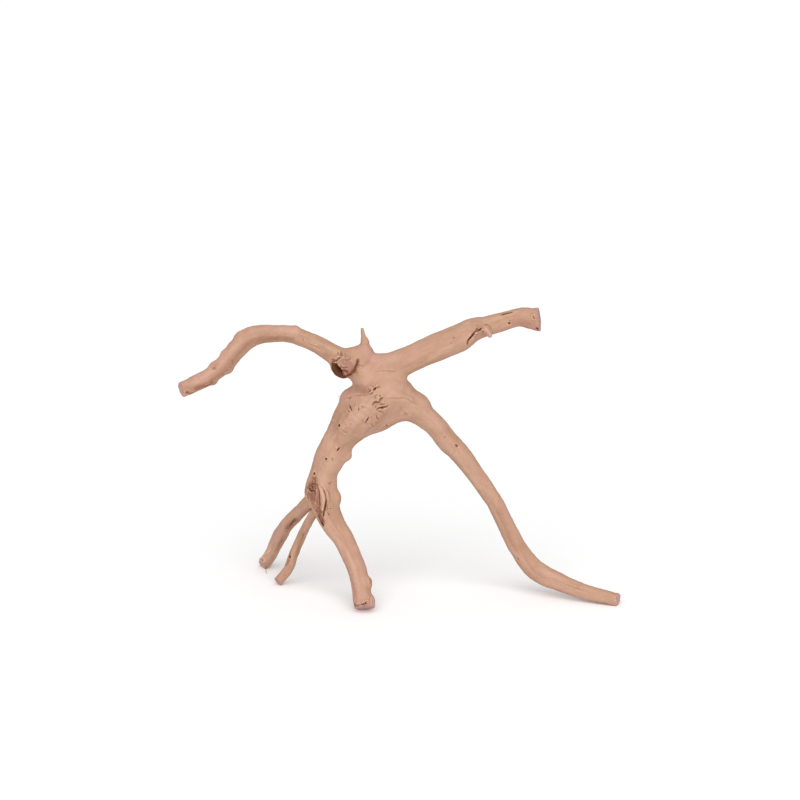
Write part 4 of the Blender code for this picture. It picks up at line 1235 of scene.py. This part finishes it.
def end_tree(tree, geometry, material, end):
    """Instances made real, and the finish put on, as the last steps of a geometry tree."""
    real = node(tree, "GeometryNodeRealizeInstances", {"Geometry": geometry})
    finish = node(tree, "GeometryNodeSetMaterial", {"Geometry": real.outputs[0], "Material": material})
    tree.links.new(finish.outputs[0], end.inputs[0])
    return tree


def grown(tree, values):
    """A maker of a Geometry Nodes modifier with its inputs set by their identifiers."""
    def maker(item):
        modifier = item.modifiers.new(tree.name, "NODES")
        modifier.node_group = tree
        for socket in tree.interface.items_tree:
            if socket.in_out == "INPUT" and socket.name in values:
                modifier[socket.identifier] = values[socket.name]
    return maker


# Noise in the wood's relief: its waves to a millimetre where no input gives its size, then its detail, its
# roughness and how much it wanders
FLUTE_DETAIL = 1.5
GRAIN_NOISE = (1.0, 0.0, 5.0)
KNOB_NOISE = (1.5, 0.5, 0.3)
WRINKLE_NOISE = (3.0, 0.55, 1.6)
TORN_NOISE = (0.9, 3.0, 0.6)

# Sizes in millimetres; an edge is how far into the noise a fold or a gap between flakes goes
WEATHERING = {"Flute Depth": 1.0, "Flute Length": 30.0, "Flute Width": 8.0,
              "Grain Depth": 0.2, "Grain Length": 14.0, "Grain Width": 1.6,
              "Knob Depth": 0.9, "Knob Size": 9.0, "Dimple Depth": 0.45, "Dimple Size": 2.8,
              "Wrinkle Depth": 0.32, "Wrinkle Size": 3.2, "Wrinkle Edge": 0.12,
              "Flake Depth": 0.3575, "Flake Size": 1.7, "Flake Edge": 0.16, "Torn Depth": 1.04}


def weathering():
    """Soft flutes and fine grain along the limbs, wrinkles on the burls, and cracked flakes on the scar."""
    tree, start, end = geometry_tree("Weathering", {**WEATHERING, "Material": None})
    value = start.outputs
    place = node(tree, "GeometryNodeInputPosition").outputs[0]

    def frequency(name):
        return sums(tree, "DIVIDE", 1.0, value[name])

    flutes = along_grain(tree, value["Flute Length"], value["Flute Width"], FLUTE_DETAIL)
    fine = along_grain(tree, value["Grain Length"], value["Grain Width"], *GRAIN_NOISE)
    height = times(tree, centred(tree, flutes), value["Flute Depth"])
    height = plus(tree, height, times(tree, centred(tree, fine), value["Grain Depth"]))
    for name in ("Knob", "Dimple"):
        swell = centred(tree, noise(tree, place, frequency(f"{name} Size"), *KNOB_NOISE))
        height = plus(tree, height, times(tree, swell, value[f"{name} Depth"]))
    folded = centred(tree, noise(tree, place, frequency("Wrinkle Size"), *WRINKLE_NOISE))
    folded = spread_out(tree, sums(tree, "ABSOLUTE", folded), 0.0, value["Wrinkle Edge"], -1.0, 0.0)
    folded = times(tree, folded, stored(tree, "burl"))
    height = plus(tree, height, times(tree, folded, value["Wrinkle Depth"]))
    inputs = {"Vector": place, "Scale": frequency("Flake Size")}
    cells = node(tree, "ShaderNodeTexVoronoi", inputs, feature="DISTANCE_TO_EDGE").outputs["Distance"]
    flakes = spread_out(tree, cells, 0.0, value["Flake Edge"], -1.0, 0.0)
    torn = centred(tree, noise(tree, place, *TORN_NOISE))
    flakes = plus(tree, times(tree, flakes, value["Flake Depth"]), times(tree, torn, value["Torn Depth"]))
    height = plus(tree, height, times(tree, flakes, stored(tree, "scar")))
    height = times(tree, height, sums(tree, "SUBTRACT", 1.0, stored(tree, "sawn"), True))
    normal = node(tree, "GeometryNodeInputNormal").outputs[0]
    offset = vector_sums(tree, "SCALE", normal, height)
    moved = node(tree, "GeometryNodeSetPosition", {"Geometry": value["Geometry"], "Offset": offset})
    inputs = {"Geometry": moved.outputs[0], "Name": "relief", "Value": height}
    kept = node(tree, "GeometryNodeStoreNamedAttribute", inputs, data_type="FLOAT", domain="POINT")
    return end_tree(tree, kept.outputs[0], value["Material"], end)


# Sides of a loose fibre's tube
TUBE_SIDES = 5


def fibre_tubes():
    """A thin tube along each line, as wide as its points say."""
    tree, start, end = geometry_tree("Fibre tubes", {"Sides": TUBE_SIDES, "Material": None})
    curves = node(tree, "GeometryNodeMeshToCurve", {"Mesh": start.outputs["Geometry"]})
    inputs = {"Resolution": start.outputs["Sides"], "Radius": 1.0}
    ring = node(tree, "GeometryNodeCurvePrimitiveCircle", inputs)
    inputs = {"Curve": curves.outputs[0], "Profile Curve": ring.outputs[0], "Scale": stored(tree, "width"),
              "Fill Caps": True}
    tubes = node(tree, "GeometryNodeCurveToMesh", inputs)
    return end_tree(tree, tubes.outputs[0], start.outputs["Material"], end)


# Finishes


TAN = (0.437, 0.262, 0.174, 1)
PINK = (0.45, 0.257, 0.188, 1)
PALE = (0.53, 0.333, 0.238, 1)
BROWN = (0.31, 0.158, 0.094, 1)
CRACK = (0.2, 0.075, 0.037, 1)
BLACK_BROWN = (0.05, 0.012, 0.004, 1)
BARK = (0.33, 0.16, 0.118, 1)
DARK_BARK = (0.14, 0.048, 0.034, 1)
STRAW = (0.6, 0.38, 0.265, 1)
BRIGHT = (0.8, 0.57, 0.45, 1)
REDDISH = (0.21, 0.062, 0.035, 1)
LILAC = (0.5, 0.29, 0.275, 1)

# Noise along the grain: length and width in millimetres, detail, how much it wanders, and where it is taken
Streaks = namedtuple("Streaks", "length width detail wander shift")
FIBRE_STREAKS = Streaks(18.0, 0.6, 2.0, 0.2, 3.0)
BUMP_STREAKS = Streaks(7.0, 0.45, 3.0, 0.1, 6.0)

# The wood's layers of streaks from the lowest up: the noise, where it starts to show and where it is full,
# its strength and its colour
LAYERS = {
    "patches": (Streaks(26.0, 11.0, 2.0, 0.4, 1.0), 0.4, 0.6, 1.0, PINK),
    "pale": (Streaks(55.0, 9.0, 2.0, 0.3, 2.0), 0.5, 0.68, 0.55, PALE),
    "brown": (Streaks(38.0, 5.0, 3.0, 0.3, 9.0), 0.52, 0.74, 0.5, BROWN),
    "lines": (Streaks(16.0, 0.8, 3.0, 0.2, 4.0), 0.55, 0.75, 0.3, BROWN),
    "pores": (Streaks(3.5, 0.35, 1.0, 0.0, 7.0), 0.66, 0.76, 0.45, BROWN),
}

# Noise in the colours: waves to a metre, detail and roughness
MOTTLE = (700.0, 3.0, 0.6)
RAGGED = (800.0, 3.0, 0.6)
GRIT = (1500.0, 2.0, 0.6)
FIBRE_MOTTLE = (300.0, 2.0)

# What a value is spread from and to: where it starts to show and is full, and what it gives there, 0 and 1
# unless it says otherwise
SPREADS = {
    "painted shade where sunk": (0.0, -0.5, 0.0, 0.4), "painted highlight where raised": (0.05, 0.45, 0.0, 0.4),
    "sunken bark": (0.1, -0.45), "lilac bark": (0.54, 0.7, 0.0, 0.5), "dark bark": (0.7, 1.2),
    "ragged edge": (0.25, 0.75, -0.3, 0.3), "bark": (0.15, 0.95),
    "rings": (0.2, 1.0, 0.0, 0.2), "tan fibres": (0.42, 0.6, 0.0, 0.35), "fresh wood": (0.0, 0.7),
    "cracks": (0.0, 0.65), "black cracks": (0.6, 1.0), "all": (0.0, 1.0),
    "roughness": (0.3, 0.7, 0.78, 0.92), "bright fibres": (0.4, 0.6),
}

# How fast the growth rings' waves run, in radians to a millimetre, and the finest relief, which is left to
# shading: its strength, its depth in metres, and the shares of fine grain, grit and pores in it
RINGS = 5.6
BUMP_STRENGTH = 0.55
BUMP_DEPTH = 0.00035
FINE_SHARE = 0.7
GRIT_SHARE = 0.3
PORE_SHARE = 0.6


def mixed(tree, factor, first, second):
    return node(tree, "ShaderNodeMix", {0: factor, 6: first, 7: second}, data_type="RGBA").outputs[2]


def plain_finish(name, **values):
    """A new material, with values set on its shader's own sockets."""
    material = bpy.data.materials.new(name)
    material.use_nodes = True
    shader = material.node_tree.nodes["Principled BSDF"]
    for label, value in values.items():
        shader.inputs[label.replace("_", " ")].default_value = value
    return material, material.node_tree, shader.inputs


def bare_wood():
    """Matt, blasted root wood: pinkish tan with soft streaks, every stain that the marks left, the painted
    shade and painted highlights that some marks carry, and painted shade where the relief sinks with a
    painted highlight where it rises.
    """
    material, tree, shader = plain_finish("blasted root wood", Specular_IOR_Level=0.15)
    place = node(tree, "ShaderNodeTexCoord").outputs["Object"]

    def spread(value, name):
        return spread_out(tree, value, *SPREADS[name])

    def stained(colour, stain, name, over):
        return mixed(tree, spread(stored(tree, stain), name), colour, over)

    colour = TAN
    grain = {}
    shown = {}
    for name, (streaks, low, high, strength, tone) in LAYERS.items():
        grain[name] = along_grain(tree, *streaks)
        shown[name] = spread_out(tree, grain[name], low, high, 0.0, strength)
        colour = mixed(tree, shown[name], colour, tone)
    # Painted shade where the relief sinks, and a painted highlight where it rises
    colour = stained(colour, "relief", "painted shade where sunk", BROWN)
    colour = stained(colour, "relief", "painted highlight where raised", PALE)
    mottle = noise(tree, place, *MOTTLE)
    sunken = spread(stored(tree, "relief"), "sunken bark")
    bark = mixed(tree, spread(mottle, "lilac bark"), BARK, LILAC)
    bark = mixed(tree, spread(plus(tree, sunken, mottle), "dark bark"), bark, DARK_BARK)
    ragged = plus(tree, stored(tree, "scar"), spread(noise(tree, place, *RAGGED), "ragged edge"))
    colour = mixed(tree, spread(ragged, "bark"), colour, bark)
    colour = stained(colour, "red", "all", REDDISH)
    colour = stained(colour, "lilac", "all", LILAC)
    rings = spread(sums(tree, "SINE", times(tree, stored(tree, "ring"), RINGS)), "rings")
    colour = stained(colour, "sawn", "all", mixed(tree, rings, LILAC, BROWN))
    fibres = spread(along_grain(tree, *FIBRE_STREAKS), "tan fibres")
    # Pale wood, and painted highlights on bump tops, ridges and crack lips
    colour = stained(colour, "fresh", "fresh wood", mixed(tree, fibres, STRAW, TAN))
    colour = stained(colour, "dark", "cracks", CRACK)
    colour = stained(colour, "dark", "black cracks", BLACK_BROWN)
    tree.links.new(colour, shader["Base Color"])
    tree.links.new(spread(grain["lines"], "roughness"), shader["Roughness"])
    fine = times(tree, along_grain(tree, *BUMP_STREAKS), FINE_SHARE)
    height = plus(tree, fine, times(tree, noise(tree, place, *GRIT), GRIT_SHARE))
    height = sums(tree, "SUBTRACT", height, times(tree, shown["pores"], PORE_SHARE))
    inputs = {"Strength": BUMP_STRENGTH, "Distance": BUMP_DEPTH, "Height": height}
    tree.links.new(node(tree, "ShaderNodeBump", inputs).outputs[0], shader["Normal"])
    return material


def fibre_wood():
    """Loose fibres: paler than the wood they lift from, darker at the root."""
    material, tree, shader = plain_finish("loose wood fibre", Specular_IOR_Level=0.2, Roughness=0.9)
    place = node(tree, "ShaderNodeTexCoord").outputs["Object"]
    bright = spread_out(tree, noise(tree, place, *FIBRE_MOTTLE), *SPREADS["bright fibres"])
    colour = mixed(tree, bright, STRAW, BRIGHT)
    colour = mixed(tree, spread_out(tree, stored(tree, "shade"), *SPREADS["all"]), colour, BARK)
    tree.links.new(colour, shader["Base Color"])
    return material


# Pieces


def on_stage(name, data):
    """A new object in the scene."""
    item = bpy.data.objects.new(name, data)
    bpy.context.scene.collection.objects.link(item)
    return item


def finished(name, mesh, *replaced):
    """A piece of the root: its mesh, what it rides on and which solid it stands for."""
    piece = on_stage(name, mesh)
    mesh.shade_smooth()
    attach(piece, "root")
    if replaced:
        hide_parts(*replaced)
    return piece


def in_place(mesh):
    """The mesh kept above the floor, and brought from the root's millimetres to metres."""
    where = vertex_places(mesh)
    where[:, 2] = np.maximum(where[:, 2], ORIGIN[2])
    place_vertices(mesh, (where - ORIGIN) * MM)
    return mesh


def wood_skin(coarse, tree, material):
    """The root's skin with its marks pressed in and its stains kept on it."""
    draw = np.random.default_rng(SEED)
    placed = [*marks_in_picture(tree), *marks_out_of_sight(vertex_places(coarse), draw)]
    mesh = even_skin(coarse, FINE_VOXEL)
    where = vertex_places(mesh)
    faces = triangles_of(mesh)
    for _ in range(2):
        where, faces = split_edges(where, faces, allowed_lengths(where, placed))
    skin = skin_field(where)
    slope = cut_field(where, skin)[1]
    sunk = np.zeros(len(where))
    stains = {name: np.zeros(len(where)) for name in STAINS}
    for mark, line, spread in placed:
        press(mark, line, spread, where, sunk, stains)
    places, shares, _ = grain_maps(where)
    sawn, ring = sawn_ends(where, skin[0], sunk, stains)
    where = where - slope / lengths_of(slope) * sunk[:, None]
    where[:, 2] = np.maximum(where[:, 2], ORIGIN[2])
    mesh = mesh_of("skin", where, faces)
    grain = {f"grain {number}": place for number, place in enumerate(places)}
    for name, values in {**grain, "grain share": shares.T, "sawn": sawn, "ring": ring, **stains}.items():
        store(mesh, name, values)
    inputs = {**WEATHERING, "Material": material}
    mesh = with_modifiers(mesh, grown(weathering(), inputs), fewer_faces(TRIANGLES))
    return in_place(mesh)


def loose_fibres(coarse, tree, material):
    """Torn and curled fibres that stand off the wood."""
    points = []
    edges = []
    widths = []
    shades = []
    for line, width, shade in fibre_lines(coarse, tree):
        edges += [(len(points) + step, len(points) + step + 1) for step in range(len(line) - 1)]
        points += line.tolist()
        widths += np.linspace(width, FIBRE_TIP * width, len(line)).tolist()
        shades += np.linspace(shade + FIBRE_SHADE, shade, len(line)).tolist()
    mesh = bpy.data.meshes.new("fibres")
    mesh.from_pydata(points, edges, [])
    store(mesh, "width", np.array(widths))
    store(mesh, "shade", np.array(shades))
    mesh = with_modifiers(mesh, grown(fibre_tubes(), {"Sides": TUBE_SIDES, "Material": material}))
    return in_place(mesh)


# Stage


def studio_light():
    """White light from all round, and a wide soft light from the front and above."""
    world = bpy.data.worlds.new("studio")
    world.use_nodes = True
    world.node_tree.nodes["Background"].inputs["Color"].default_value = (1, 1, 1, 1)
    world.node_tree.nodes["Background"].inputs["Strength"].default_value = ALL_ROUND
    bpy.context.scene.world = world
    light = bpy.data.lights.new("soft front light", "SUN")
    light.energy = FRONT_LIGHT
    light.angle = FRONT_SPREAD
    item = on_stage("soft front light", light)
    item.rotation_euler = Vector(FRONT_WAY).to_track_quat("-Z", "Y").to_euler()


def pale_floor():
    """The plain floor that the root stands on."""
    shape = bmesh.new()
    bmesh.ops.create_grid(shape, x_segments=1, y_segments=1, size=FLOOR)
    mesh = bpy.data.meshes.new("floor")
    shape.to_mesh(mesh)
    shape.free()
    look = dict(Base_Color=FLOOR_GREY, Roughness=0.9, Specular_IOR_Level=0)
    mesh.materials.append(plain_finish("pale floor", **look)[0])
    on_stage("floor", mesh)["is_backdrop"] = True


def camera():
    """The camera where the picture was taken from."""
    eye, forward, _, _ = sight_axes()
    item = on_stage("camera", bpy.data.cameras.new("camera"))
    item.data.lens = LENS
    item.data.sensor_width = SENSOR
    item.location = (eye - ORIGIN) * MM
    item.rotation_euler = Vector(forward).to_track_quat("-Z", "Y").to_euler()
    bpy.context.scene.camera = item


camera()
studio_light()
pale_floor()
bpy.context.scene.view_settings.view_transform = "Standard"
coarse_skin = even_skin(stock(), COARSE_VOXEL)
sight_tree = BVHTree.FromPolygons(vertex_places(coarse_skin).tolist(), triangles_of(coarse_skin).tolist())
finished("root_skin", wood_skin(coarse_skin, sight_tree, bare_wood()), "bogwood_root")
finished("loose_fibres", loose_fibres(coarse_skin, sight_tree, fibre_wood()))

boxes = {"cad": cad_box, "visual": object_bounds()}
{name: [list(map(float, corner)) for corner in box] for name, box in boxes.items()}
